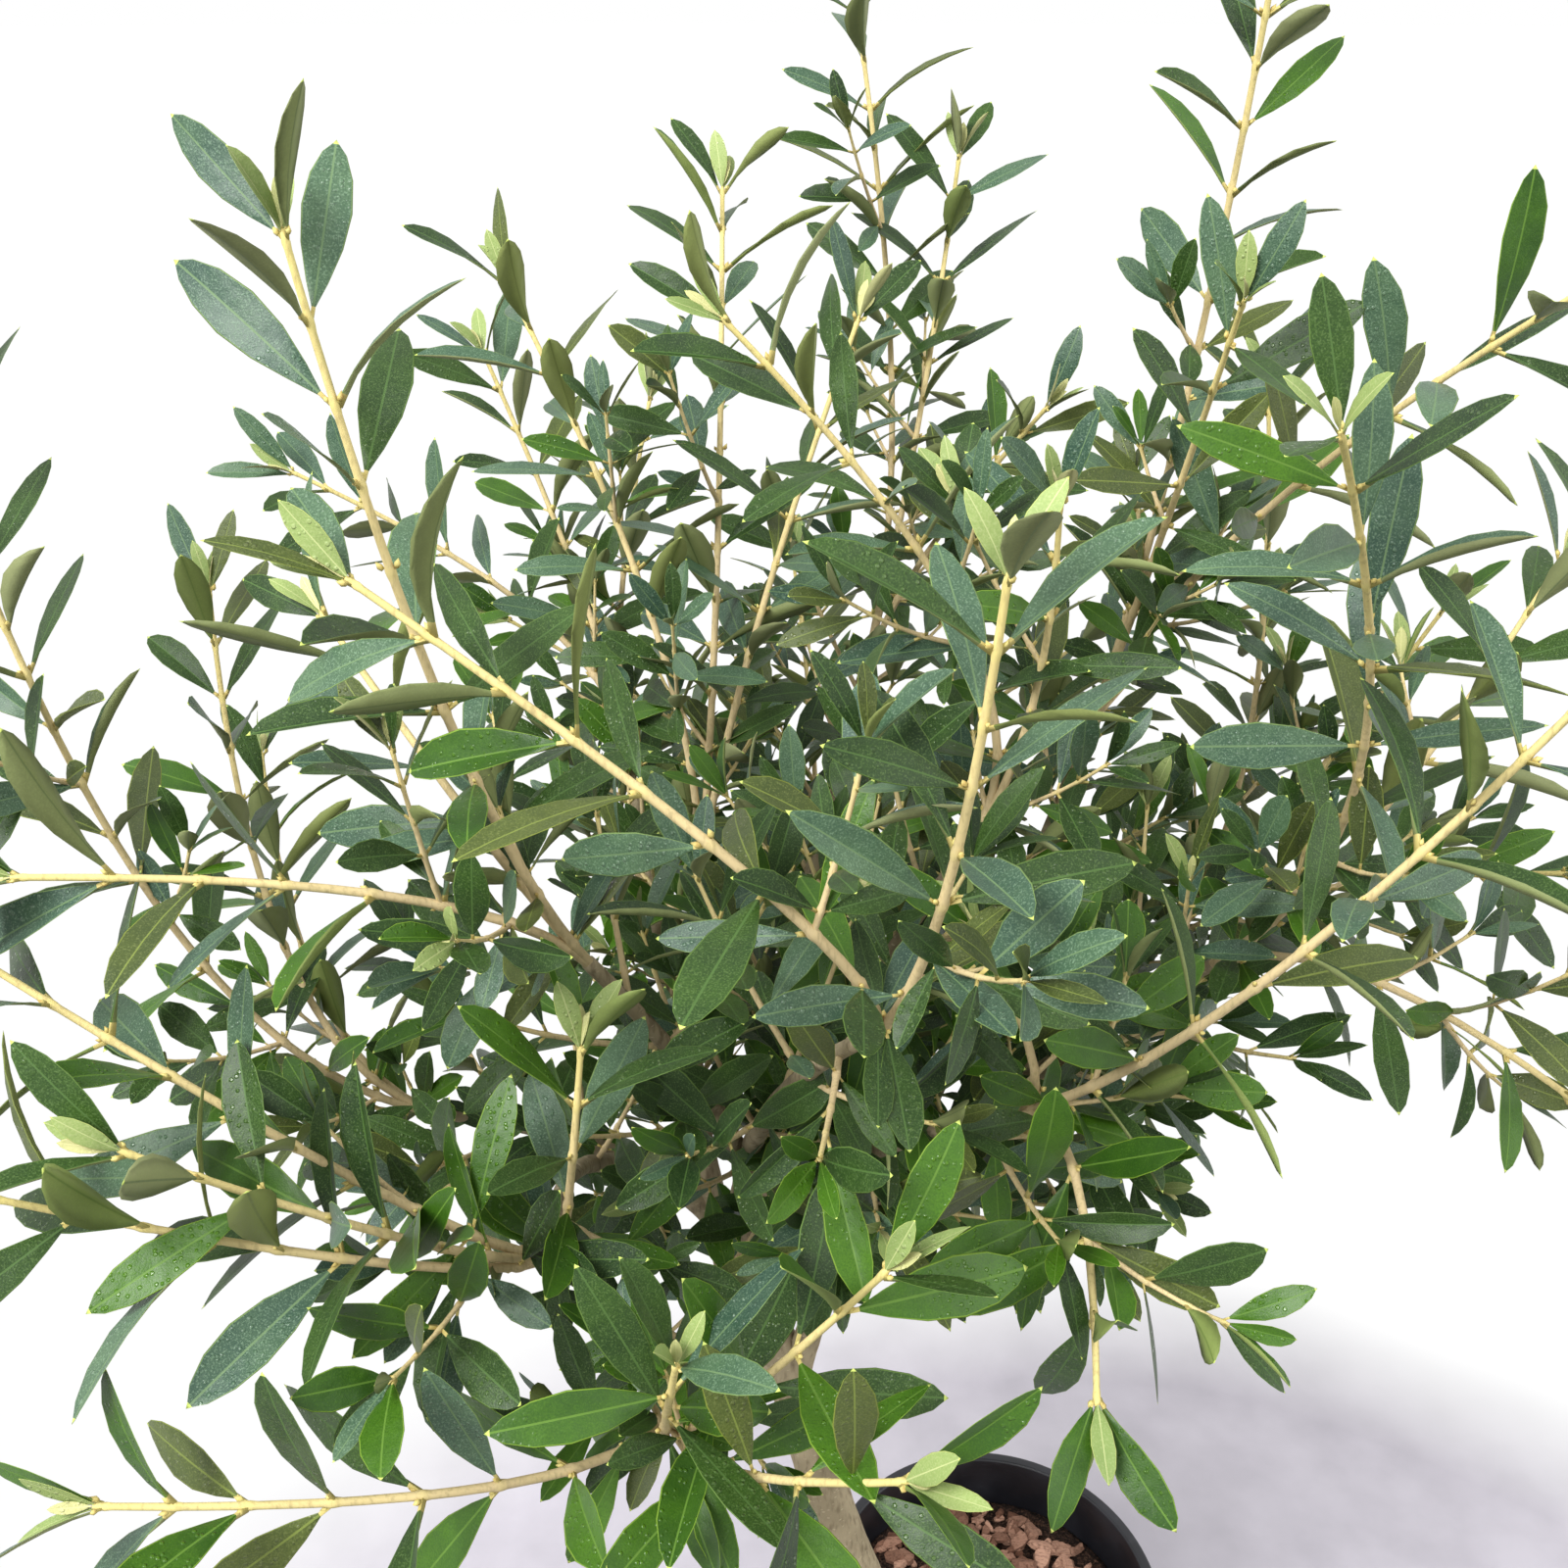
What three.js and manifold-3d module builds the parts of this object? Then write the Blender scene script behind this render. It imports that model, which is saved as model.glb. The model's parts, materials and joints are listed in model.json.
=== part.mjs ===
// Young olive tree in a round nursery pot, at its real size.
// Millimetres, +Z up, origin at the centre of the pot's underside.
// The trunk leans out of the pot and forks into boughs, and each bough carries one mass of foliage.

import * as THREE from "three";
import { mergeVertices } from "three/addons/utils/BufferGeometryUtils.js";
import Module from "manifold-3d";

const wasm = await Module();
wasm.setup();

// Clear gap between pieces that touch on the real plant
const SEAT_GAP = 0.3;

// Pot: a moulded 24 cm nursery pot with a rolled rim
const POT = {
  height: 225,
  baseRadius: 90,
  shoulderRadius: 113,
  rimRadius: 120,
  rimBand: 20,
  rimRoll: 2.2,
  rimTop: 4,
  wall: 2.6,
  floor: 3,
  chamfer: 3,
  facets: 32,
};

// Soil: fills the pot up to a little below the rim
const SOIL = { depthBelowRim: 38, facets: 24 };
const SOIL_LEVEL = POT.height - SOIL.depthBelowRim;

// Trunk: leans out from its foot, then straightens and turns to the fork
const TRUNK = {
  foot: [-55, -20],
  leanOut: [-125, -55, 300],
  straighten: [-125, -45, 480],
  fork: [-178, -41, 572],
  footRadius: 22.5,
  forkRadius: 12.5,
  flare: 0.36,
  flareHeight: 0.07,
  buttress: 0.1,
  buttresses: 4,
  sides: 12,
  steps: 11,
};

// Boughs: each leaves its parent at a share of the parent's length, turns by `turn` of the way
// towards its own aim (heading from +X and rise above level, in degrees), and ends in a mass of
// foliage whose shoots are given the same way, as heading, rise and length.
const BOUGHS = [
  {
    name: "centre", parent: "trunk", at: 1, aim: [129, 84], length: 250, radii: [9.5, 6], seed: 11,
    shoots: [[140, 69, 330], [84, 68, 370], [31, 72, 310]],
  },
  {
    name: "front", parent: "trunk", at: 0.9, aim: [-79, 57], length: 445, radii: [8.5, 5], seed: 12,
    shoots: [[-170, 49, 245], [-77, 68, 220]],
  },
  {
    name: "right", parent: "trunk", at: 0.72, aim: [-22, 60], length: 420, radii: [9, 5.2], seed: 13,
    shoots: [[-107, 60, 340], [-36, -6, 210], [18, 50, 245]],
  },
  {
    name: "back", parent: "trunk", at: 0.82, aim: [73, 64], length: 410, radii: [8.6, 5.2], seed: 14,
    shoots: [[99, 77, 415], [52, 74, 300], [-20, 60, 200]],
  },
  {
    name: "left", parent: "centre", at: 0.15, aim: [-163, 38], length: 185, radii: [7, 5], seed: 15,
    shoots: [[-160, 68, 425], [149, 65, 300], [131, 37, 240]],
  },
  {
    name: "back_left", parent: "centre", at: 0.28, aim: [110, 55], length: 265, radii: [6, 4.6], seed: 16,
    shoots: [[138, 64, 240], [171, 40, 245], [84, 56, 215]],
  },
  {
    name: "right_back", parent: "right", at: 0.35, aim: [24, 67], length: 320, radii: [6.2, 4.6], seed: 17,
    shoots: [[-44, 82, 415], [-48, 51, 355], [-77, 66, 270]],
  },
  {
    name: "middle", parent: "front", at: 0.35, aim: [-7, 64], length: 250, radii: [5.2, 4.2], seed: 18,
    shoots: [[-174, 66, 265], [-61, 75, 185]],
  },
  {
    name: "right_front", parent: "front", at: 0.2, aim: [-53, 48], length: 300, radii: [5.8, 4.3], seed: 19,
    shoots: [[-28, 54, 320], [-177, 77, 90], [-84, -12, 130]],
  },
  {
    name: "front_left", parent: "front", at: 0.45, aim: [-120, 59], length: 225, radii: [5.2, 4.2], seed: 20,
    shoots: [[-132, 74, 290], [-157, 24, 215], [160, 52, 175]],
  },
  {
    name: "front_low", parent: "front", at: 0.12, aim: [-96, 33], length: 280, radii: [5.8, 4.3], seed: 21,
    shoots: [[-147, 21, 225], [-58, 36, 190], [-84, 52, 155], [-46, 53, 185]],
  },
  {
    name: "left_low", parent: "left", at: 0.35, aim: [-95, 34], length: 245, radii: [5.4, 4.2], seed: 22,
    shoots: [[-167, 42, 275], [-140, 40, 205], [-145, 32, 230], [-47, 77, 115]],
  },
  {
    name: "back_low", parent: "back", at: 0.35, aim: [81, 27], length: 175, radii: [5.6, 4.3], seed: 23,
    shoots: [[94, 47, 240], [155, 35, 270], [21, 35, 310]],
  },
  {
    name: "right_low", parent: "right", at: 0.3, aim: [28, 36], length: 260, radii: [5.8, 4.3], seed: 24,
    shoots: [[5, 57, 255], [62, 70, 340], [-39, 33, 245]],
  },
];
const BOUGH = { sides: 8, steps: 5, turn: 0.5, lead: 0.45 };

// Stem: a bough runs on from `enters` as the stem of its mass, which bears side twigs two by two
const STEM = {
  enters: 0.55, tipRadius: 3.7, fit: 0.94, sides: 6, steps: 2, firstTwig: 24, lastTwig: 26, twigSpacing: 56,
};

// Shoots: slender three-sided twigs that bend away from the end of the mass's stem
const SHOOT = { sunk: 6, baseRadius: 2.7, tipRadius: 1.5, sides: 3, steps: 3, lead: 0.35 };

// Side twigs: they leave a shoot in a leaf's axil
const TWIG = {
  everyPairs: 3, first: 1, length: [48, 78], spread: 46, turn: 45, baseRadius: 1.9, tipRadius: 1.3,
  pairShare: 0.62, tipLeafShare: 0.96, leafScale: 0.74,
};

// Leaves: opposite pairs, each pair turned a quarter round from the last, and one leaf at each tip.
// A shoot's last pair and its tip leaf are younger, `tipScale` of the others' size.
const LEAF = {
  length: [66, 84], width: 0.27, thickness: 0.034, thickest: 0.22,
  pairSpacing: 82, firstPair: 42, lastPair: 14,
  spread: 50, spreadJitter: 16, turnJitter: 22, rollJitter: 18, tipShare: 0.985, tipScale: 0.74,
};

// Each mass keeps to the points that lie nearer to its own shoots than to any other mass's
// and no leaf comes near an earlier leaf of its mass
const SPACE = {
  margin: 2.4, limbClearance: 1.6, leafClearance: 6.5, shootClearance: 4, free: 0.3, samples: 5,
  routeSteps: 8,
};

const COLOURS = {
  pot: { color: "#1c1e22", roughness: 0.45, metalness: 0 },
  soil: { color: "#6d4a3a", roughness: 0.95, metalness: 0 },
  trunk: { color: "#b3a48c", roughness: 0.85, metalness: 0 },
  bough: { color: "#bfa98a", roughness: 0.8, metalness: 0 },
  foliage: { color: "#3f6146", roughness: 0.55, metalness: 0 },
};

const UP = new THREE.Vector3(0, 0, 1);

const degrees = THREE.MathUtils.degToRad;

/** Returns a repeatable source of numbers from 0 to 1. */
function seeded(seed) {
  let state = (seed * 7919) % 2147483647;
  return () => {
    state = (state * 16807) % 2147483647;
    return state / 2147483647;
  };
}

/** Returns the unit vector of a heading from +X and a rise above level, in degrees. */
function aimed(heading, rise) {
  const level = Math.cos(degrees(rise));
  return new THREE.Vector3(
    level * Math.cos(degrees(heading)),
    level * Math.sin(degrees(heading)),
    Math.sin(degrees(rise)),
  );
}

/** Returns a shoot's or bough's curve: it starts along `tangent` and ends at its own aim. */
function limbCurve(start, tangent, [heading, rise], length, turn, lead) {
  const chord = aimed(heading, rise);
  const leading = tangent.clone().multiplyScalar(1 - turn).addScaledVector(chord, turn).normalize();
  return new THREE.QuadraticBezierCurve3(
    start.clone(),
    start.clone().addScaledVector(leading, length * lead),
    start.clone().addScaledVector(chord, length),
  );
}

/** Returns a manifold solid of a closed three.js geometry. */
function solidOf(geometry) {
  const bare = geometry.index ? geometry.toNonIndexed() : geometry;
  bare.deleteAttribute("normal");
  bare.deleteAttribute("uv");
  const merged = mergeVertices(bare, 1e-4);
  return new wasm.Manifold(new wasm.Mesh({
    numProp: 3,
    vertProperties: new Float32Array(merged.attributes.position.array),
    triVerts: new Uint32Array(merged.index.array),
  }));
}

/** Returns the largest of a solid's separate bodies, so that loose scraps are dropped. */
function largestBody(solid) {
  return solid.decompose().reduce((best, body) => (body.volume() > best.volume() ? body : best));
}

/** Returns the BufferGeometry of a manifold solid. */
function geometryOf(solid) {
  const mesh = solid.getMesh();
  const geometry = new THREE.BufferGeometry();
  geometry.setAttribute("position", new THREE.BufferAttribute(mesh.vertProperties, 3));
  geometry.setIndex(new THREE.BufferAttribute(mesh.triVerts, 1));
  return geometry.toNonIndexed();
}

/** Returns a closed cylinder bent along a curve, its radius given by share of length and angle. */
function bentCylinder(curve, radiusAt, sides, steps, levelFoot = false) {
  const geometry = new THREE.CylinderGeometry(1, 1, 1, sides, steps);
  const frames = curve.computeFrenetFrames(steps, false);
  if (levelFoot) {
    frames.normals[0].setZ(0).normalize();
    frames.binormals[0].crossVectors(UP, frames.normals[0]);
  }
  const position = geometry.attributes.position;
  const vertex = new THREE.Vector3();
  for (let i = 0; i < position.count; i += 1) {
    vertex.fromBufferAttribute(position, i);
    const share = vertex.y + 0.5;
    const ring = Math.round(share * steps);
    const reach = Math.hypot(vertex.x, vertex.z);
    const angle = Math.atan2(vertex.z, vertex.x);
    const radius = reach * radiusAt(share, angle);
    const point = curve.getPointAt(share)
      .addScaledVector(frames.binormals[ring], radius * Math.cos(angle))
      .addScaledVector(frames.normals[ring], radius * Math.sin(angle));
    position.setXYZ(i, point.x, point.y, point.z);
  }
  return geometry;
}

/** Returns the pot: one wall turned round the axis, from its floor to the rolled rim. */
function potGeometry() {
  const { height, baseRadius, shoulderRadius, rimRadius, rimBand, rimRoll, rimTop, floor, chamfer } = POT;
  const shoulder = height - rimBand;
  const profile = [
    [0, 0],
    [baseRadius - chamfer, 0],
    [baseRadius, chamfer],
    [shoulderRadius, shoulder - rimRoll],
    [rimRadius - rimRoll, shoulder],
    [rimRadius, shoulder + rimRoll],
    [rimRadius, height - rimRoll],
    [rimRadius - rimRoll, height],
    [rimRadius - rimRoll - rimTop, height],
    [potInnerRadius(shoulder), height - rimRoll - rimTop],
    [potInnerRadius(shoulder), shoulder],
    [potInnerRadius(floor), floor],
    [0, floor],
  ];
  const points = profile.map(([radius, level]) => new THREE.Vector2(radius, level));
  return new THREE.LatheGeometry(points, POT.facets).rotateX(Math.PI / 2);
}

/** Returns the radius of the pot's inner wall at a level. */
function potInnerRadius(level) {
  const shoulder = POT.height - POT.rimBand;
  return THREE.MathUtils.lerp(POT.baseRadius, POT.shoulderRadius, level / shoulder) - POT.wall;
}

/** Returns the soil: a plug that stands on the pot's floor, a little clear of its wall. */
function soilGeometry() {
  const bottom = POT.floor + SEAT_GAP;
  const top = SOIL_LEVEL - SEAT_GAP;
  const facetLoss = Math.cos(Math.PI / POT.facets);
  const profile = [
    [0, bottom],
    [potInnerRadius(bottom) * facetLoss - SEAT_GAP, bottom],
    [potInnerRadius(top) * facetLoss - SEAT_GAP, top],
    [0, top],
  ];
  const points = profile.map(([radius, level]) => new THREE.Vector2(radius, level));
  return new THREE.LatheGeometry(points, SOIL.facets).rotateX(Math.PI / 2);
}

/** Returns the trunk's curve, from the soil's level up to the fork. */
function trunkCurve() {
  return new THREE.CubicBezierCurve3(
    new THREE.Vector3(...TRUNK.foot, SOIL_LEVEL),
    new THREE.Vector3(...TRUNK.leanOut),
    new THREE.Vector3(...TRUNK.straighten),
    new THREE.Vector3(...TRUNK.fork),
  );
}

/** Returns the trunk's radius at a share of its length and an angle round it. */
function trunkRadius(share, angle) {
  const flare = Math.exp(-share / TRUNK.flareHeight);
  const lobes = 1 + TRUNK.buttress * flare * Math.cos(TRUNK.buttresses * angle);
  const taper = THREE.MathUtils.lerp(TRUNK.footRadius, TRUNK.forkRadius, Math.sqrt(share));
  return taper * (1 + TRUNK.flare * flare) * lobes;
}

/** Returns the trunk's solid, with `skin` added to its radius and its foot cut flat and level. */
function trunkSolid(skin) {
  const radiusAt = (share, angle) => trunkRadius(share, angle) + skin;
  return solidOf(bentCylinder(trunkCurve(), radiusAt, TRUNK.sides, TRUNK.steps, true));
}

/** Returns a bough's solid before it is cut at its fork, with `skin` added to its radius. */
function boughSolid(curve, [base, tip], skin) {
  const radiusAt = (share) => THREE.MathUtils.lerp(base, tip, share) + skin;
  return solidOf(bentCylinder(curve, radiusAt, BOUGH.sides, BOUGH.steps));
}

/** Returns points along a curve, for measuring how near something comes to it. */
function routeOf(curve) {
  return curve.getSpacedPoints(SPACE.routeSteps);
}

/** Returns a point's distance from a route. */
function distanceTo(route, point) {
  const nearest = new THREE.Vector3();
  let least = Infinity;
  for (let i = 1; i < route.length; i += 1) {
    new THREE.Line3(route[i - 1], route[i]).closestPointToPoint(point, true, nearest);
    least = Math.min(least, nearest.distanceTo(point));
  }
  return least;
}

/** Returns a bough's curve as far as its mass of foliage. */
function bareCurve(curve) {
  return new THREE.QuadraticBezierCurve3(
    curve.v0.clone(),
    curve.v0.clone().lerp(curve.v1, STEM.enters),
    curve.getPoint(STEM.enters),
  );
}

/** Returns the curves of a mass: its stem, clear of the bough's tip, and the shoots it ends in. */
function massCurves(bough, boughCurve) {
  const root = boughCurve.getPoint(STEM.enters).addScaledVector(boughCurve.getTangent(STEM.enters), SEAT_GAP);
  const bend = boughCurve.v1.clone().lerp(boughCurve.v2, STEM.enters);
  const stem = new THREE.QuadraticBezierCurve3(root, bend, boughCurve.v2.clone());
  const tangent = stem.getTangent(1);
  const start = stem.getPoint(1).addScaledVector(tangent, -SHOOT.sunk);
  const shoots = bough.shoots.map(([heading, rise, length]) => (
    limbCurve(start, tangent, [heading, rise], length, 0, SHOOT.lead)
  ));
  return { stem, shoots, routes: [stem, ...shoots].map(routeOf) };
}

/** Returns a leaf's solid: eight faces, widest half way along and thickest nearer its root. */
function leafSolid(root, along, facing, length) {
  const geometry = new THREE.OctahedronGeometry(0.5);
  const position = geometry.attributes.position;
  for (let i = 0; i < position.count; i += 1) {
    const atRidge = position.getZ(i) !== 0;
    position.setX(i, atRidge ? LEAF.thickest : position.getX(i) + 0.5);
  }
  geometry.scale(length, length * LEAF.width, length * LEAF.thickness);
  const side = new THREE.Vector3().crossVectors(facing, along).normalize();
  const normal = new THREE.Vector3().crossVectors(along, side);
  geometry.applyMatrix4(new THREE.Matrix4().makeBasis(along, side, normal));
  geometry.translate(root.x, root.y, root.z);
  return solidOf(geometry);
}

/** Returns the points that stand for a leaf when its place is tested. */
function leafPoints(root, along, facing, length) {
  const side = new THREE.Vector3().crossVectors(facing, along).normalize();
  const half = (length * LEAF.width) / 2;
  const points = [];
  for (let i = 1; i <= SPACE.samples; i += 1) {
    const share = i / SPACE.samples;
    const across = half * (1 - Math.abs(2 * share - 1));
    for (const hand of [-1, 1]) {
      points.push(root.clone().addScaledVector(along, length * share).addScaledVector(side, hand * across));
    }
  }
  return points;
}

/** Returns a direction that spreads from `tangent` by an angle, at a turn about it. */
function spreadFrom(tangent, reference, turn, spread) {
  const outward = reference.clone().applyAxisAngle(tangent, turn);
  return tangent.clone().multiplyScalar(Math.cos(spread)).addScaledVector(outward, Math.sin(spread));
}

/** Grows one mass of foliage by the seeded rule and returns its solid. */
function growMass(bough, curves, fits) {
  const stemRadius = (share) => THREE.MathUtils.lerp(bough.radii[1] * STEM.fit, STEM.tipRadius, share);
  const solids = [solidOf(bentCylinder(curves.stem, stemRadius, STEM.sides, STEM.steps))];
  const taken = [];

  /** Tells whether a blade stays clear of the mass's earlier leaves and of its shoots. */
  function clear(points) {
    const free = points.slice(Math.ceil(points.length * SPACE.free));
    return free.every((point) => (
      taken.every((other) => other.distanceTo(point) > SPACE.leafClearance)
        && curves.routes.every((route) => distanceTo(route, point) > SPACE.shootClearance)
    ));
  }

  /** Adds a leaf where its whole blade keeps to the mass's own space. */
  function addLeaf(root, along, facing, length) {
    const points = leafPoints(root, along, facing, length);
    if (!clear(points) || !fits(points)) return;
    taken.push(...points.slice(2));
    solids.push(leafSolid(root, along, facing, length));
  }

  /** Adds a pair of opposite leaves at a node. */
  function addPair(root, tangent, reference, turn, scale, random) {
    for (const half of [0, Math.PI]) {
      const jitter = degrees(LEAF.turnJitter) * (random() - 0.5);
      const spread = degrees(LEAF.spread + LEAF.spreadJitter * (random() - 0.5));
      const along = spreadFrom(tangent, reference, turn + half + jitter, spread);
      const roll = degrees(LEAF.rollJitter) * (random() - 0.5);
      const facing = tangent.clone().applyAxisAngle(along, roll);
      addLeaf(root, along, facing, scale * THREE.MathUtils.lerp(...LEAF.length, random()));
    }
  }

  /** Adds a side twig with a pair of leaves and a leaf at its tip. */
  function addTwig(root, along, reference, random) {
    const length = THREE.MathUtils.lerp(...TWIG.length, random());
    const curve = new THREE.LineCurve3(root, root.clone().addScaledVector(along, length));
    const points = curve.getSpacedPoints(SPACE.samples).slice(1);
    if (!clear(points) || !fits(points)) return;
    const radiusAt = (share) => THREE.MathUtils.lerp(TWIG.baseRadius, TWIG.tipRadius, share);
    solids.push(solidOf(bentCylinder(curve, radiusAt, SHOOT.sides, 1)));
    const across = new THREE.Vector3().crossVectors(along, reference).normalize();
    addPair(curve.getPoint(TWIG.pairShare), along, across, 0, TWIG.leafScale, random);
    addLeaf(curve.getPoint(TWIG.tipLeafShare), along, across, LEAF.length[1] * TWIG.leafScale);
  }

  const stemRandom = seeded(bough.seed);
  const stemLength = curves.stem.getLength();
  const stemTurn = Math.PI * stemRandom();
  for (let reach = STEM.firstTwig; reach < stemLength - STEM.lastTwig; reach += STEM.twigSpacing) {
    const share = reach / stemLength;
    const tangent = curves.stem.getTangentAt(share);
    const reference = new THREE.Vector3().crossVectors(tangent, UP).normalize();
    const turn = stemTurn + (Math.round(reach / STEM.twigSpacing) * Math.PI) / 2;
    for (const half of [0, Math.PI]) {
      const along = spreadFrom(tangent, reference, turn + half, degrees(TWIG.spread));
      addTwig(curves.stem.getPointAt(share), along, tangent, stemRandom);
    }
  }

  curves.shoots.forEach((curve, index) => {
    const random = seeded(bough.seed * 10 + index);
    const length = curve.getLength();
    const radiusAt = (share) => THREE.MathUtils.lerp(SHOOT.baseRadius, SHOOT.tipRadius, share);
    solids.push(solidOf(bentCylinder(curve, radiusAt, SHOOT.sides, SHOOT.steps)));
    const firstTurn = Math.PI * random();
    const span = length - LEAF.firstPair - LEAF.lastPair;
    const pairs = Math.max(1, Math.round(span / LEAF.pairSpacing));
    for (let pair = 0; pair <= pairs; pair += 1) {
      const share = (LEAF.firstPair + (span * pair) / pairs) / length;
      const tangent = curve.getTangentAt(share);
      const reference = new THREE.Vector3().crossVectors(tangent, UP).normalize();
      const turn = firstTurn + (pair * Math.PI) / 2;
      const root = curve.getPointAt(share);
      addPair(root, tangent, reference, turn, pair < pairs ? 1 : LEAF.tipScale, random);
      if (pair % TWIG.everyPairs === TWIG.first && pair < pairs) {
        const along = spreadFrom(tangent, reference, turn + degrees(TWIG.turn), degrees(TWIG.spread));
        addTwig(root, along, tangent, random);
      }
    }
    const tipTangent = curve.getTangentAt(1);
    const tipFacing = UP.clone().cross(tipTangent).normalize();
    addLeaf(curve.getPointAt(LEAF.tipShare), tipTangent, tipFacing, LEAF.length[0] * LEAF.tipScale);
  });

  return largestBody(solids.reduce((whole, solid) => whole.add(solid)));
}

/** Returns a named mesh of a geometry, in one of the plant's colours. */
function named(name, geometry, finish) {
  const mesh = new THREE.Mesh(geometry, new THREE.MeshStandardMaterial(finish));
  mesh.name = name;
  return mesh;
}

/** Builds the whole plant as one group of named meshes. */
function buildTree() {
  const group = new THREE.Group();
  group.add(named("pot", potGeometry(), COLOURS.pot));
  group.add(named("soil", soilGeometry(), COLOURS.soil));

  const trunk = trunkSolid(0);
  group.add(named("trunk", geometryOf(trunk), COLOURS.trunk));
  const curves = { trunk: trunkCurve() };
  const limbs = [{ route: routeOf(curves.trunk), radius: TRUNK.footRadius, skin: trunkSolid(SEAT_GAP) }];

  for (const bough of BOUGHS) {
    const parent = curves[bough.parent];
    const curve = limbCurve(
      parent.getPoint(bough.at), parent.getTangent(bough.at), bough.aim, bough.length, BOUGH.turn, BOUGH.lead,
    );
    curves[bough.name] = curve;
    const bare = bareCurve(curve);
    const cut = limbs.reduce((solid, limb) => solid.subtract(limb.skin), boughSolid(bare, bough.radii, 0));
    group.add(named(`bough_${bough.name}`, geometryOf(largestBody(cut)), COLOURS.bough));
    const skin = boughSolid(bare, bough.radii, SEAT_GAP);
    limbs.push({ route: routeOf(bare), radius: bough.radii[0], skin });
  }

  const masses = BOUGHS.map((bough) => {
    const grown = massCurves(bough, curves[bough.name]);
    return { bough, grown, routes: grown.routes };
  });
  for (const mass of masses) {
    const others = masses.filter((other) => other !== mass).flatMap((other) => other.routes);
    const fits = (points) => points.every((point) => {
      const own = Math.min(...mass.routes.map((route) => distanceTo(route, point)));
      return others.every((route) => distanceTo(route, point) > own + SPACE.margin)
        && limbs.every((limb) => distanceTo(limb.route, point) > limb.radius + SPACE.limbClearance);
    });
    const solid = growMass(mass.bough, mass.grown, fits);
    group.add(named(`foliage_${mass.bough.name}`, geometryOf(solid), COLOURS.foliage));
  }
  return group;
}

const group = buildTree();

export default group;
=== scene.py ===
"""A young olive tree in a round nursery pot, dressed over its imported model.

Sizes are in millimetres until a mesh is made, which is in metres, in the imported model's frame.
"""

import json
import logging
import math
from collections.abc import Callable, Iterable
from dataclasses import dataclass, field
from enum import Enum

import bpy
import numpy as np
from bpy.types import Material, Node, NodeSocket, NodeTree, Object
from mathutils import Matrix, Vector, noise

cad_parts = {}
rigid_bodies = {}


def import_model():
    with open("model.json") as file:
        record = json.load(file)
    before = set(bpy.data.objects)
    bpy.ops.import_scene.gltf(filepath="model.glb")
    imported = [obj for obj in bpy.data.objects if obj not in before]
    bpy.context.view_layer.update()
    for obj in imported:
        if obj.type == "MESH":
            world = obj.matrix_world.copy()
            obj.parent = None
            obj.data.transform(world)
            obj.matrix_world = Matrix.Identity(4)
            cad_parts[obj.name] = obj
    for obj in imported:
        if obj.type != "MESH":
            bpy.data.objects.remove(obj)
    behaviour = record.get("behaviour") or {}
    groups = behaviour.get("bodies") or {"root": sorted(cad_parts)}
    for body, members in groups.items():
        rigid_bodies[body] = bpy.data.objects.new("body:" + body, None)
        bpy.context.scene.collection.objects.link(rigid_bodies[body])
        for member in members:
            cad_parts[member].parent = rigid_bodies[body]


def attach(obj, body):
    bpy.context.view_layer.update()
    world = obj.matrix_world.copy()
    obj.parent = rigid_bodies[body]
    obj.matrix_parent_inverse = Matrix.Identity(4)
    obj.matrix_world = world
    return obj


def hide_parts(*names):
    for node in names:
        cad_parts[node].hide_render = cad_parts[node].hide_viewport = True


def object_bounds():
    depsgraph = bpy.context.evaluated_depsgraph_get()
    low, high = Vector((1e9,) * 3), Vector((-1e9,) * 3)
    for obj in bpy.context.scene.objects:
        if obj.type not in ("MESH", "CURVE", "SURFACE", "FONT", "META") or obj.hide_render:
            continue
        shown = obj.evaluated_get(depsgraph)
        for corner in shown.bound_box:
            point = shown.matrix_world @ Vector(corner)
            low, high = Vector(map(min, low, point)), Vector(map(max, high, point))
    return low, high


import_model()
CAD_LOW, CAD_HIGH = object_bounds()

LOG = logging.getLogger("olive")
MM = 0.001
ROUND = 2 * math.pi
QUARTER = math.pi / 2
UP = np.array([0.0, 0.0, 1.0])
BLACK = (0.0, 0.0, 0.0)
WHITE = (1.0, 1.0, 1.0)
Colour = tuple[float, float, float]
Limits = tuple[float, float]
Place = tuple[float, float, float]
Point = np.ndarray


class Tone(Enum):
    """Colours that a leaf comes in, dealt out by spray."""

    DEEP = "deep"
    GREY = "grey"
    FRESH = "fresh"
    OLIVE = "olive"
    YOUNG = "young"
    CREAM = "cream"


class Shape(Enum):
    """Ways a blade bends."""

    STRAIGHT = 0
    ARCHED = 1
    FOLDED = 2
    TWISTED = 3


class Part(Enum):
    """Parts of a leaf that have a finish of their own."""

    BLADE = 0
    RIB = 1
    MARGIN = 2
    UNDER = 3
    UNDER_RIB = 4
    STALK = 5
    POINT = 6


# Numbers, directions and paths


class Rule:
    """A repeatable source of numbers, the same as the one that grows the solids."""

    MODULUS = 2147483647

    def __init__(self, seed: int) -> None:
        """Starts the row of numbers that belongs to a seed."""
        self.state = (seed * 7919) % self.MODULUS

    def next(self) -> float:
        """Returns the next number from 0 to 1."""
        self.state = (self.state * 16807) % self.MODULUS
        return self.state / self.MODULUS

    def between(self, low: float, high: float) -> float:
        """Returns a number between two limits."""
        return low + (high - low) * self.next()

    def about(self, spread: float) -> float:
        """Returns a number up to half a spread either side of nought."""
        return spread * (self.next() - 0.5)

    def pick(self, shares: dict) -> object:
        """Returns one of the keys, as often as its share of the whole says.

        Args:
            shares: Each key with its share.

        Returns:
            The key that was drawn.
        """
        drawn = self.next() * sum(shares.values())
        for key, share in shares.items():
            drawn -= share
            if drawn <= 0:
                return key
        return key


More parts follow.
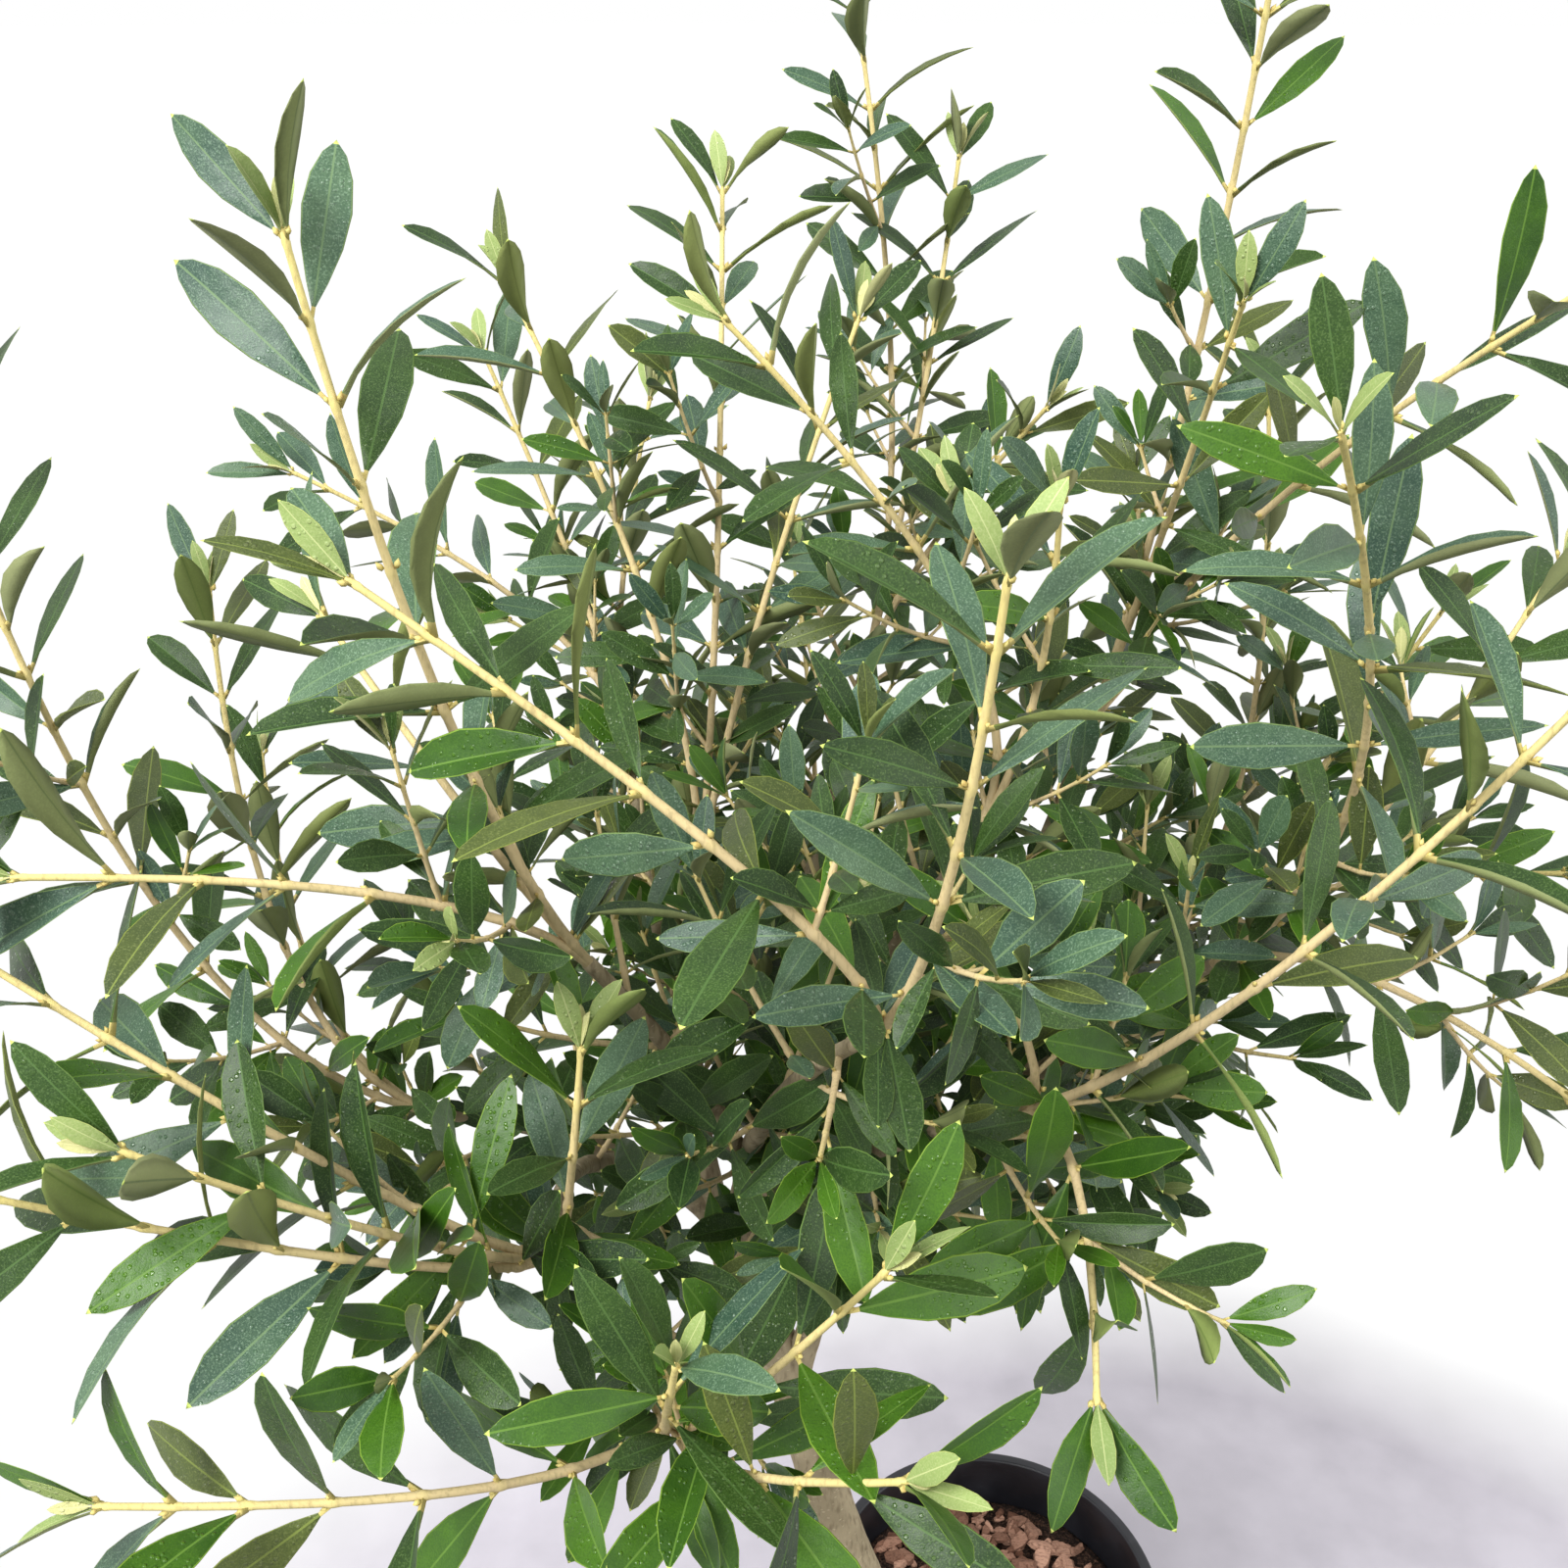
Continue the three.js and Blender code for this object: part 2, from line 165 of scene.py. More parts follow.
def lerp(low: float, high: float, share: float) -> float:
    """Returns the number a share of the way from one to another."""
    return low + (high - low) * share


def smooth(low: float, high: float, value: float) -> float:
    """Returns 0 below one limit, 1 above the other and an even curve between them."""
    share = min(1.0, max(0.0, (value - low) / (high - low)))
    return share * share * (3 - 2 * share)


def unit(vector: Point) -> Point:
    """Returns a vector's direction."""
    return vector / max(float(np.linalg.norm(vector)), 1e-9)


def aimed(heading: float, rise: float) -> Point:
    """Returns the unit vector of a heading from +X and a rise above level, in degrees."""
    across, above = math.radians(heading), math.radians(rise)
    return np.array([math.cos(above) * math.cos(across), math.cos(above) * math.sin(across), math.sin(above)])


def turned(vector: Point, axis: Point, angle: float) -> Point:
    """Returns a vector turned about a unit axis, by an angle in radians."""
    cos, sin = math.cos(angle), math.sin(angle)
    return vector * cos + np.cross(axis, vector) * sin + axis * float(axis @ vector) * (1 - cos)


def spread_from(tangent: Point, reference: Point, turn: float, spread: float) -> Point:
    """Returns a direction that spreads from a tangent by an angle, at a turn about it."""
    return tangent * math.cos(spread) + turned(reference, tangent, turn) * math.sin(spread)


def side_of(tangent: Point) -> Point:
    """Returns the level direction square to a tangent."""
    return unit(np.cross(tangent, UP) + np.array([1e-6, 0.0, 0.0]))


def turn_of(*axes: Point) -> Place:
    """Returns the turn, as an XYZ Euler, that gives a template its three axes."""
    return tuple(Matrix(axes).transposed().to_euler())


class Path:
    """A Bezier curve measured by its length."""

    STEPS = 48

    def __init__(self, *handles: Iterable[float]) -> None:
        """Measures the curve that a row of handles gives.

        Args:
            handles: The handles, from one end to the other.
        """
        self.handles = [np.array(handle, dtype=float) for handle in handles]
        self.marks = np.linspace(0, 1, self.STEPS + 1)
        points = np.array([self.raw(mark) for mark in self.marks])
        steps = np.linalg.norm(np.diff(points, axis=0), axis=1)
        self.reach = np.concatenate([[0], np.cumsum(steps)])
        self.length = float(self.reach[-1])

    def drawn_in(self, mark: float, left: int) -> list[Point]:
        """Draws the handles together at a mark of the curve's own parameter.

        Args:
            mark: The mark, from 0 to 1.
            left: How many points are to be left.

        Returns:
            Those points.
        """
        row = self.handles
        while len(row) > left:
            row = [one + (two - one) * mark for one, two in zip(row, row[1:])]
        return row

    def raw(self, mark: float) -> Point:
        """Returns the point at a mark of the curve's own parameter."""
        return self.drawn_in(mark, 1)[0]

    def raw_tangent(self, mark: float) -> Point:
        """Returns the direction at a mark of the curve's own parameter."""
        one, two = self.drawn_in(mark, 2)
        return unit(two - one)

    def mark(self, share: float) -> float:
        """Returns the curve's own parameter at a share of its length."""
        return float(np.interp(share * self.length, self.reach, self.marks))

    def point(self, share: float) -> Point:
        """Returns the point at a share of the length."""
        return self.raw(self.mark(share))

    def tangent(self, share: float) -> Point:
        """Returns the direction at a share of the length."""
        return self.raw_tangent(self.mark(share))


def limb_path(start: Point, tangent: Point, aim: Limits, length: float, turn: float, lead: float) -> Path:
    """Returns a limb's curve, as the solids have it.

    Args:
        start: The point that it leaves from.
        tangent: The direction of what it leaves.
        aim: Its heading and rise, in degrees.
        length: The length of its chord.
        turn: How far its first direction is turned to its aim, from 0 to 1.
        lead: How far along its middle handle lies.

    Returns:
        The path.
    """
    chord = aimed(*aim)
    leading = unit(tangent * (1 - turn) + chord * turn)
    return Path(start, start + leading * length * lead, start + chord * length)


# Node trees


class Net:
    """A node tree, and the one way nodes are added to it."""

    def __init__(self, tree: NodeTree) -> None:
        """Keeps the tree."""
        self.tree = tree

    @staticmethod
    def socket(node: Node, key: str) -> NodeSocket:
        """Returns a node's input by identifier, or else by name."""
        found = [socket for socket in node.inputs if socket.identifier == key]
        return found[0] if found else node.inputs[key]

    def feed(self, socket: NodeSocket, value: object) -> None:
        """Sets or links a socket.

        Args:
            socket: The input.
            value: A value, or a wire, an output or a node, of which the first output is meant.
        """
        if isinstance(value, Wire):
            value = value.socket
        if isinstance(value, Node):
            value = value.outputs[0]
        if isinstance(value, NodeSocket):
            self.tree.links.new(value, socket)
        elif socket.type == "RGBA" and len(value) == 3:
            socket.default_value = (*value, 1.0)
        else:
            socket.default_value = value

    def add(self, kind: str, sockets: dict | None = None, **settings: object) -> Node:
        """Adds one node.

        Args:
            kind: The node's type.
            sockets: What each named input is set or linked to.
            settings: The node's settings, set first.

        Returns:
            The node.
        """
        node = self.tree.nodes.new(kind)
        for key, value in settings.items():
            setattr(node, key, value)
        for key, value in (sockets or {}).items():
            self.feed(self.socket(node, key), value)
        return node


class Wire:
    """A number on a shader's wire, for which sums are written as plain maths."""

    def __init__(self, net: Net, socket: NodeSocket) -> None:
        """Keeps the socket and the net that new nodes go to."""
        self.net = net
        self.socket = socket

    def joined(self, operation: str, one: object, two: object) -> "Wire":
        """Returns the wire of a Math node on two values."""
        node = self.net.add("ShaderNodeMath", {"Value": one, "Value_001": two}, operation=operation)
        return Wire(self.net, node.outputs[0])

    def __add__(self, other: object) -> "Wire":
        """Adds."""
        return self.joined("ADD", self, other)

    def __sub__(self, other: object) -> "Wire":
        """Takes the other away."""
        return self.joined("SUBTRACT", self, other)

    def __rsub__(self, other: object) -> "Wire":
        """Takes this away from the other."""
        return self.joined("SUBTRACT", other, self)

    def __mul__(self, other: object) -> "Wire":
        """Multiplies."""
        return self.joined("MULTIPLY", self, other)

    __radd__ = __add__
    __rmul__ = __mul__


class Finish(Net):
    """A material under way: one principled shader on object coordinates."""

    def __init__(self, name: str, **values: object) -> None:
        """Starts a material.

        Args:
            name: Its name.
            values: The shader's plain values, as set takes them.
        """
        self.material = bpy.data.materials.new(name)
        self.material.use_nodes = True
        super().__init__(self.material.node_tree)
        self.tree.nodes.clear()
        self.shader = self.add("ShaderNodeBsdfPrincipled")
        self.add("ShaderNodeOutputMaterial", {"Surface": self.shader})
        self.place = self.add("ShaderNodeTexCoord").outputs["Object"]
        self.set(**values)

    def set(self, **values: object) -> None:
        """Sets or links the shader's inputs, with _ for the spaces in their names."""
        for key, value in values.items():
            self.feed(self.socket(self.shader, key.replace("_", " ")), value)

    def wire(self, kind: str, sockets: dict, output: int | str = 0, **settings: object) -> Wire:
        """Adds a node as add does, and returns the wire of one of its outputs."""
        return Wire(self, self.add(kind, sockets, **settings).outputs[output])

    def stretched(self, scale: Place) -> NodeSocket:
        """Returns object coordinates scaled on each axis."""
        return self.add("ShaderNodeMapping", {"Vector": self.place, "Scale": scale}).outputs[0]

    def noise(self, size: float, detail: float = 2.0, place: object = None) -> Wire:
        """Returns noise with patches of a size in millimetres."""
        sockets = {"Vector": place or self.place, "Scale": 1 / (size * MM), "Detail": detail}
        return self.wire("ShaderNodeTexNoise", sockets)

    def cells(self, size: float, place: object = None) -> Wire:
        """Returns the distance from the middle of cells of a size in millimetres."""
        return self.wire("ShaderNodeTexVoronoi", {"Vector": place or self.place, "Scale": 1 / (size * MM)})

    def band(self, value: Wire, low: float, high: float) -> Wire:
        """Returns 0 where a value is below one limit and 1 where it is above the other."""
        return self.wire("ShaderNodeMapRange", {"Value": value, "From Min": low, "From Max": high})

    def attribute(self, name: str) -> Wire:
        """Returns a number that the mesh carries."""
        return self.wire("ShaderNodeAttribute", {}, "Fac", attribute_name=name)

    def mix(self, share: object, one: object, two: object) -> NodeSocket:
        """Returns a colour a share of the way from one to another."""
        sockets = {"Factor_Float": share, "A_Color": one, "B_Color": two}
        return self.add("ShaderNodeMix", sockets, data_type="RGBA").outputs[2]

    def relief(self, height: Wire, strength: float, depth: float) -> None:
        """Raises the surface by a height, with a depth in millimetres."""
        sockets = {"Strength": strength, "Distance": depth * MM, "Height": height}
        self.set(Normal=self.add("ShaderNodeBump", sockets))


def linear(red: int, green: int, blue: int) -> Colour:
    """Returns the linear colour of a screen colour given from 0 to 255."""
    parts = (red / 255, green / 255, blue / 255)
    return tuple(part / 12.92 if part <= 0.04045 else ((part + 0.055) / 1.055) ** 2.4 for part in parts)


def scaled(colour: Colour, factor: float) -> Colour:
    """Returns a colour made lighter or darker by a factor."""
    return tuple(value * factor for value in colour)


# Finishes


@dataclass(frozen=True)
class LeafFinish:
    """The finish of one tone of leaf."""

    tone: Tone
    blade: Colour
    shade: Colour
    # The pale colour of the scales, partly painted sheen; drops of water are lightened towards it as painted
    # highlight.
    scales: Colour
    under: Colour
    rib: Colour
    margin: Colour
    # How far the pale scales, partly painted sheen, cover the blade.
    dusting_and_sheen: float
    roughness: float
    gloss: float
    stalk: Colour = linear(204, 188, 116)
    point: Colour = linear(190, 206, 104)

    def started(self, part: Part, gloss: float) -> Finish:
        """Returns the finish of one part under way, with its gloss."""
        return Finish(f"leaf_{self.tone.value}_{part.name.lower()}", Specular_IOR_Level=gloss)

    def blade_material(self) -> Material:
        """Lays out the upper side: patches, and fine pale scales that stand up a little, lighter partly as
        painted sheen.

        Returns:
            The material.
        """
        finish = self.started(Part.BLADE, self.gloss)
        patches = finish.band(finish.noise(16, 2), 0.35, 0.68)
        lean = finish.attribute("tone") * 0.62 + patches * 0.38
        base = finish.mix(lean, self.shade, self.blade)
        grain = finish.noise(0.62, 2)
        pitted = finish.mix((1 - finish.band(grain, 0.3, 0.5)) * 0.5, base, self.shade)
        # Pale scales over the blade: partly the leaf's own scales, partly painted sheen.
        dusted_and_sheen = finish.mix(finish.band(grain, 0.52, 0.72) * self.dusting_and_sheen, pitted, self.scales)
        drops = self.droplets(finish)
        # Drops of water lighten the colour a little towards the pale scales: a painted highlight.
        finish.set(
            Base_Color=finish.mix(drops * 0.24, dusted_and_sheen, self.scales),
            Roughness=self.roughness + grain * 0.2 - drops * 0.32,
        )
        finish.relief(grain * 0.5 + finish.noise(7, 1) * 2.4 + drops * 2.0, 0.55, 0.4)
        return finish.material

    def droplets(self, finish: Finish) -> Wire:
        """Returns where small drops of water lie: round, and only on some leaves."""
        wet = finish.band(finish.noise(60, 0), 0.44, 0.52)
        return (1 - finish.band(finish.cells(2.7), 0.17, 0.31)) * wet

    def under_material(self) -> Material:
        """Lays out the lower side: dull, with a fine felt of scales.

        Returns:
            The material.
        """
        finish = self.started(Part.UNDER, 0.25)
        base = finish.mix(finish.attribute("tone"), scaled(self.under, 0.72), self.under)
        felt = finish.band(finish.noise(0.8, 1), 0.45, 0.7)
        finish.set(
            Base_Color=finish.mix(felt * 0.25, base, scaled(self.under, 1.3)), Roughness=0.62 + felt * 0.12
        )
        finish.relief(finish.noise(1.1, 1), 0.25, 0.2)
        return finish.material

    def line_material(self, part: Part, colour: Colour) -> Material:
        """Lays out a rib, a margin or a stalk: faintly streaked.

        Args:
            part: The part.
            colour: Its colour.

        Returns:
            The material.
        """
        finish = self.started(part, 0.35)
        streak = finish.noise(2.2, 1)
        finish.set(Base_Color=finish.mix(streak, colour, scaled(colour, 0.8)), Roughness=0.5 + streak * 0.12)
        return finish.material

    def materials(self) -> dict[str, Material]:
        """Makes a material for each part of the leaf.

        Returns:
            The materials by the parts' names.
        """
        dull_rib = tuple(one * 0.55 + two * 0.3 for one, two in zip(self.under, self.rib))
        lines = {
            Part.RIB: self.rib,
            Part.UNDER_RIB: dull_rib,
            Part.MARGIN: self.margin,
            Part.STALK: self.stalk,
            Part.POINT: self.point,
        }
        made = {Part.BLADE: self.blade_material(), Part.UNDER: self.under_material()}
        made |= {part: self.line_material(part, colour) for part, colour in lines.items()}
        return {part.name.title(): material for part, material in made.items()}


LEAF_FINISHES = [
    LeafFinish(
        Tone.DEEP, blade=linear(51, 80, 22), shade=linear(22, 44, 18), scales=linear(114, 140, 84),
        under=linear(131, 141, 90), rib=linear(70, 100, 46), margin=linear(86, 114, 48),
        dusting_and_sheen=0.32, roughness=0.35, gloss=0.34,
    ),
    # Grey-green leaves: their pale bluish scales are partly painted reflection of the sky.
    LeafFinish(
        Tone.GREY, blade=linear(77, 105, 72), shade=linear(41, 69, 56), scales=linear(134, 161, 134),
        under=linear(141, 148, 102), rib=linear(100, 127, 88), margin=linear(112, 138, 78),
        dusting_and_sheen=0.46, roughness=0.36, gloss=0.42,
    ),
    LeafFinish(
        Tone.FRESH, blade=linear(67, 108, 12), shade=linear(35, 69, 12), scales=linear(98, 139, 42),
        under=linear(129, 145, 80), rib=linear(88, 124, 42), margin=linear(114, 146, 44),
        dusting_and_sheen=0.16, roughness=0.33, gloss=0.38,
    ),
    LeafFinish(
        Tone.OLIVE, blade=linear(82, 94, 36), shade=linear(50, 64, 28), scales=linear(124, 134, 80),
        under=linear(132, 143, 82), rib=linear(114, 128, 58), margin=linear(120, 132, 50),
        dusting_and_sheen=0.4, roughness=0.4, gloss=0.36,
    ),
    LeafFinish(
        Tone.YOUNG, blade=linear(152, 168, 102), shade=linear(126, 148, 84), scales=linear(186, 194, 146),
        under=linear(172, 172, 120), rib=linear(184, 194, 132), margin=linear(182, 194, 112),
        dusting_and_sheen=0.3, roughness=0.5, gloss=0.3,
    ),
    LeafFinish(
        Tone.CREAM, blade=linear(200, 196, 138), shade=linear(178, 180, 118), scales=linear(216, 214, 168),
        under=linear(216, 210, 156), rib=linear(226, 222, 160), margin=linear(216, 214, 140),
        dusting_and_sheen=0.3, roughness=0.55, gloss=0.3,
    ),
]


class Bark(Finish):
    """The bark of trunk and boughs: beige-grey, with streaks, patches and small pores."""

    def __init__(self) -> None:
        """Lays out the streaks, patches and pores."""
        super().__init__("bark", Specular_IOR_Level=0.22)
        patches = self.band(self.noise(34, 3), 0.36, 0.66)
        streaks = self.noise(3.2, 4, self.stretched((1, 1, 0.28)))
        base = self.mix(patches, linear(172, 158, 129), linear(138, 126, 101))
        lined = self.mix(self.band(streaks, 0.5, 0.72) * 0.7, base, linear(98, 84, 64))
        pores = 1 - self.band(self.cells(5.5, self.stretched((1, 1, 2.2))), 0.12, 0.24)
        self.set(
            Base_Color=self.mix(pores * 0.55, lined, linear(196, 182, 152)), Roughness=0.78 + streaks * 0.14
        )
        self.relief(streaks + pores * 0.5 + self.noise(0.9, 2) * 0.35, 0.55, 0.7)


class TwigSkin(Finish):
    """The skin of twigs: tan at the foot, straw along them and yellow-green at the tip."""

    def __init__(self) -> None:
        """Lays out the colours of age, and flecks along the twig."""
        super().__init__("twig_skin", Specular_IOR_Level=0.3)
        age = self.attribute("age")
        older = self.mix(self.band(age, 0.0, 0.45), linear(158, 142, 110), linear(208, 187, 142))
        skin = self.mix(self.band(age, 0.55, 1.0), older, linear(216, 200, 128))
        streak = self.noise(1.5, 3, self.stretched((1, 1, 0.35)))
        flecks = self.band(streak, 0.5, 0.75)
        self.set(
            Base_Color=self.mix(flecks * 0.45, skin, linear(128, 112, 76)), Roughness=0.58 + streak * 0.2
        )
        self.relief(streak, 0.4, 0.3)


class BudSkin(Finish):
    """The skin of buds: cream-yellow, browner in patches."""

    def __init__(self) -> None:
        """Lays out the patches."""
        super().__init__("bud_skin", Specular_IOR_Level=0.3, Roughness=0.6)
        patches = self.band(self.noise(2.6, 2), 0.4, 0.7)
        self.set(Base_Color=self.mix(patches, linear(214, 200, 124), linear(172, 146, 82)))
        self.relief(self.noise(0.7, 1), 0.4, 0.2)


class PotPlastic(Finish):
    """Moulded black plastic: satin, with dust and fine scuffs."""

    def __init__(self) -> None:
        """Lays out the dust and the scuffs."""
        super().__init__("pot_plastic", Specular_IOR_Level=0.5)
        dust = self.band(self.noise(38, 4), 0.42, 0.75)
        scuffs = self.band(self.noise(2.4, 4, self.stretched((0.25, 0.25, 3))), 0.6, 0.8)
        base = self.mix(dust, linear(24, 25, 30), linear(38, 39, 45))
        self.set(
            Base_Color=self.mix(scuffs * 0.35, base, linear(74, 74, 80)),
            Roughness=0.36 + dust * 0.14 + scuffs * 0.1,
        )
        self.relief(self.noise(0.8, 2) + scuffs * 0.4, 0.18, 0.2)


class PottingSoil(Finish):
    """Potting soil: dark brown crumbs, darker in the low gaps between them as painted shade."""

    def __init__(self) -> None:
        """Lays out the crumbs, with painted shade in the gaps between them, and their fine grain."""
        super().__init__("potting_soil", Specular_IOR_Level=0.2, Roughness=0.95)
        crumbs, fine = self.cells(4.5), self.noise(1.6, 4)
        # Darker away from each crumb's middle, where the relief sinks between crumbs: painted shade.
        base = self.mix(self.band(crumbs, 0.1, 0.6), linear(62, 44, 36), linear(34, 25, 21))
        self.set(Base_Color=self.mix(self.band(fine, 0.5, 0.75), base, linear(104, 78, 62)))
        self.relief(fine - crumbs, 0.9, 2.0)


class BarkChip(Finish):
    """Bark chips: pinkish brown, fibrous, each a little lighter or darker."""

    def __init__(self) -> None:
        """Lays out the fibres."""
        super().__init__("bark_chip", Specular_IOR_Level=0.22)
        base = self.mix(self.attribute("tone"), linear(106, 72, 56), linear(182, 142, 120))
        fibres = self.noise(1.3, 4, self.stretched((0.4, 1, 1)))
        lines = self.band(fibres, 0.45, 0.75) * 0.7
        self.set(Base_Color=self.mix(lines, base, linear(66, 44, 34)), Roughness=0.8 + fibres * 0.12)
        self.relief(fibres, 0.8, 0.8)


class StudioFloor(Finish):
    """The floor: softly mottled pale grey about a middle, and plain white further out."""

    def __init__(self, middle: Limits, fade: Limits) -> None:
        """Lays out the grey patch and its fading.

        Args:
            middle: The middle of the patch.
            fade: How far from it the patch starts and ends to fade.
        """
        super().__init__("studio_floor", Roughness=0.9, Specular_IOR_Level=0.1, Emission_Strength=1.0)
        ends = {"Vector": self.place, "Vector_001": (*(value * MM for value in middle), 0.0)}
        reach = self.wire("ShaderNodeVectorMath", ends, "Value", operation="DISTANCE")
        white = self.band(reach + self.noise(300, 1) * 0.08, *(value * MM for value in fade))
        mottle = self.band(self.noise(60, 4), 0.3, 0.7)
        patch = self.mix(mottle, linear(176, 172, 180), linear(189, 185, 193))
        self.set(Base_Color=self.mix(white, patch, BLACK), Emission_Color=self.mix(white, BLACK, WHITE))


# Meshes


def circle(count: int) -> list[Limits]:
    """Returns the cosine and sine of even steps round a circle."""
    return [(math.cos(ROUND * step / count), math.sin(ROUND * step / count)) for step in range(count)]


def bridged(rows: int, count: int, start: int = 0, inward: bool = False) -> list[tuple]:
    """Returns the faces that join rings of vertices, each to the one that follows.

    Args:
        rows: How many bands of faces there are.
        count: How many vertices a ring has.
        start: The number of the first vertex.
        inward: Whether the faces turn the other way.

    Returns:
        The faces, band by band.
    """
    faces = []
    for row in range(rows):
        near, far = start + row * count, start + (row + 1) * count
        for step in range(count):
            following = (step + 1) % count
            face = (near + step, near + following, far + following, far + step)
            faces.append((face[0], *reversed(face[1:])) if inward else face)
    return faces


def fanned(start: int, count: int, tip: int, inward: bool = False) -> list[tuple]:
    """Returns the faces that join a ring of vertices to a tip, turned the other way if inward."""
    pairs = [(start + step, start + (step + 1) % count) for step in range(count)]
    return [(two, one, tip) if inward else (one, two, tip) for one, two in pairs]


def linked(name: str, data: object, place: Place = (0, 0, 0), turn: object = (0, 0, 0)) -> Object:
    """Makes an object and links it to the scene.

    Args:
        name: Its name.
        data: Its mesh, light or camera.
        place: Where it stands, in millimetres.
        turn: Its turn, as an XYZ Euler.

    Returns:
        The object.
    """
    made = bpy.data.objects.new(name, data)
    made.location, made.rotation_euler = Vector(place) * MM, turn
    bpy.context.scene.collection.objects.link(made)
    return made


def mesh_object(name: str, points: Iterable, faces: Iterable, edges: Iterable = ()) -> Object:
    """Returns an object whose mesh is given in millimetres.

    Args:
        name: The object's name.
        points: Its vertices.
        faces: Its faces, as rows of vertex numbers.
        edges: Its edges, where it has no faces.

    Returns:
        The object, linked to the scene.
    """
    mesh = bpy.data.meshes.new(name)
    mesh.from_pydata((np.asarray(points, dtype=float) * MM).tolist(), list(edges), list(faces))
    mesh.update()
    return linked(name, mesh)


def store(made: Object, name: str, kind: str, values: Iterable, domain: str = "POINT") -> None:
    """Stores a value for each vertex or face of an object's mesh.

    Args:
        made: The object.
        name: The attribute's name.
        kind: Its type.
        values: The values, one for each vertex or face.
        domain: What carries them.
    """
    attribute = made.data.attributes.new(name, kind, domain)
    flat = np.asarray(values, dtype=int if kind == "INT" else float).ravel()
    attribute.data.foreach_set("vector" if kind == "FLOAT_VECTOR" else "value", flat)


def template(name: str, points: Iterable, faces: list, parts: list[int], soft: bool = True) -> Object:
    """Returns a template for a scatter, a unit to a metre.

    Args:
        name: Its name.
        points: Its vertices, in units.
        faces: Its faces.
        parts: The number of the part that each face belongs to.
        soft: Whether it is shaded smooth.

    Returns:
        The template.
    """
    made = mesh_object(name, np.array(points) / MM, faces)
    if soft:
        made.data.shade_smooth()
    store(made, "part", "INT", parts, "FACE")
    return made


def soft_piece(name: str, points: Iterable, faces: Iterable, material: Material) -> Object:
    """Returns a smoothly shaded object of one material, given in millimetres.

    Args:
        name: Its name.
        points: Its vertices.
        faces: Its faces.
        material: Its material.

    Returns:
        The object.
    """
    made = mesh_object(name, points, faces)
    made.data.shade_smooth()
    made.data.materials.append(material)
    return made


def grown(made: Object, tree: NodeTree, inputs: dict) -> Object:
    """Returns the plain mesh that a geometry tree makes of an object.

    Args:
        made: The object that holds the tree's points or paths.
        tree: The geometry tree.
        inputs: A value for each named input of the tree.

    Returns:
        A new object with the same name, in place of the first.
    """
    modifier = made.modifiers.new("grow", "NODES")
    modifier.node_group = tree
    for item in tree.interface.items_tree:
        if item.item_type == "SOCKET" and item.in_out == "INPUT" and item.name in inputs:
            modifier[item.identifier] = inputs[item.name]
    name = made.name
    evaluated = made.evaluated_get(bpy.context.evaluated_depsgraph_get())
    mesh = bpy.data.meshes.new_from_object(evaluated)
    made.modifiers.remove(modifier)
    bpy.data.objects.remove(made)
    mesh.name = name
    return linked(name, mesh)


def settle(made: Object, slot: str, *nodes: str) -> None:
    """Makes a piece ride on the plant and stand for some nodes, and reports it.

    Args:
        made: The piece.
        slot: Not used.
        nodes: The nodes that it stands for.
    """
    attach(made, "root")
    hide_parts(*nodes)
    made.data.calc_loop_triangles()
    LOG.info("%s: %d triangles", made.name, len(made.data.loop_triangles))


class Growth(Net):
    """A geometry tree under way, with its own named inputs."""

    def __init__(self, name: str, inputs: dict[str, tuple[str, object]]) -> None:
        """Starts the tree.

        Args:
            name: Its name.
            inputs: Each named input with its socket type and its first value.
        """
        super().__init__(bpy.data.node_groups.new(name, "GeometryNodeTree"))
        interface = self.tree.interface
        for way in ("INPUT", "OUTPUT"):
            interface.new_socket("Geometry", in_out=way, socket_type="NodeSocketGeometry")
        for key, (kind, value) in inputs.items():
            socket = interface.new_socket(key, in_out="INPUT", socket_type=kind)
            if value is not None:
                socket.default_value = value
        self.source = self.add("NodeGroupInput")

    def given(self, name: str) -> NodeSocket:
        """Returns one of the tree's named inputs."""
        return self.source.outputs[name]

    def carried(self, name: str, kind: str = "FLOAT") -> Node:
        """Returns an attribute that the points carry."""
        return self.add("GeometryNodeInputNamedAttribute", {"Name": name}, data_type=kind)

    def close(self, geometry: Node) -> NodeTree:
        """Links what the tree makes to its output and returns the tree."""
        self.add("NodeGroupOutput", {"Geometry": geometry})
        return self.tree


def tube_tree() -> NodeTree:
    """Builds the tree that turns a net of paths into closed tubes of the paths' own radii.

    Returns:
        The tree.
    """
    tree = Growth("twig_tubes", {"Sides": ("NodeSocketInt", 8), "Skin": ("NodeSocketMaterial", None)})
    curve = tree.add("GeometryNodeMeshToCurve", {"Mesh": tree.given("Geometry")})
    ring = tree.add("GeometryNodeCurvePrimitiveCircle", {"Resolution": tree.given("Sides"), "Radius": 1.0})
    sockets = {"Curve": curve, "Profile Curve": ring, "Scale": tree.carried("radius"), "Fill Caps": True}
    tube = tree.add("GeometryNodeCurveToMesh", sockets)
    whole = tree.add("GeometryNodeRealizeInstances", {"Geometry": tube})
    soft = tree.add("GeometryNodeSetShadeSmooth", {"Geometry": whole})
    return tree.close(tree.add("GeometryNodeSetMaterial", {"Geometry": soft, "Material": tree.given("Skin")}))


@dataclass
class Spot:
    """Where one template stands: its place, turn and size on each axis, and which template it is."""

    place: Point
    turn: Place
    size: Place
    shape: int = 0


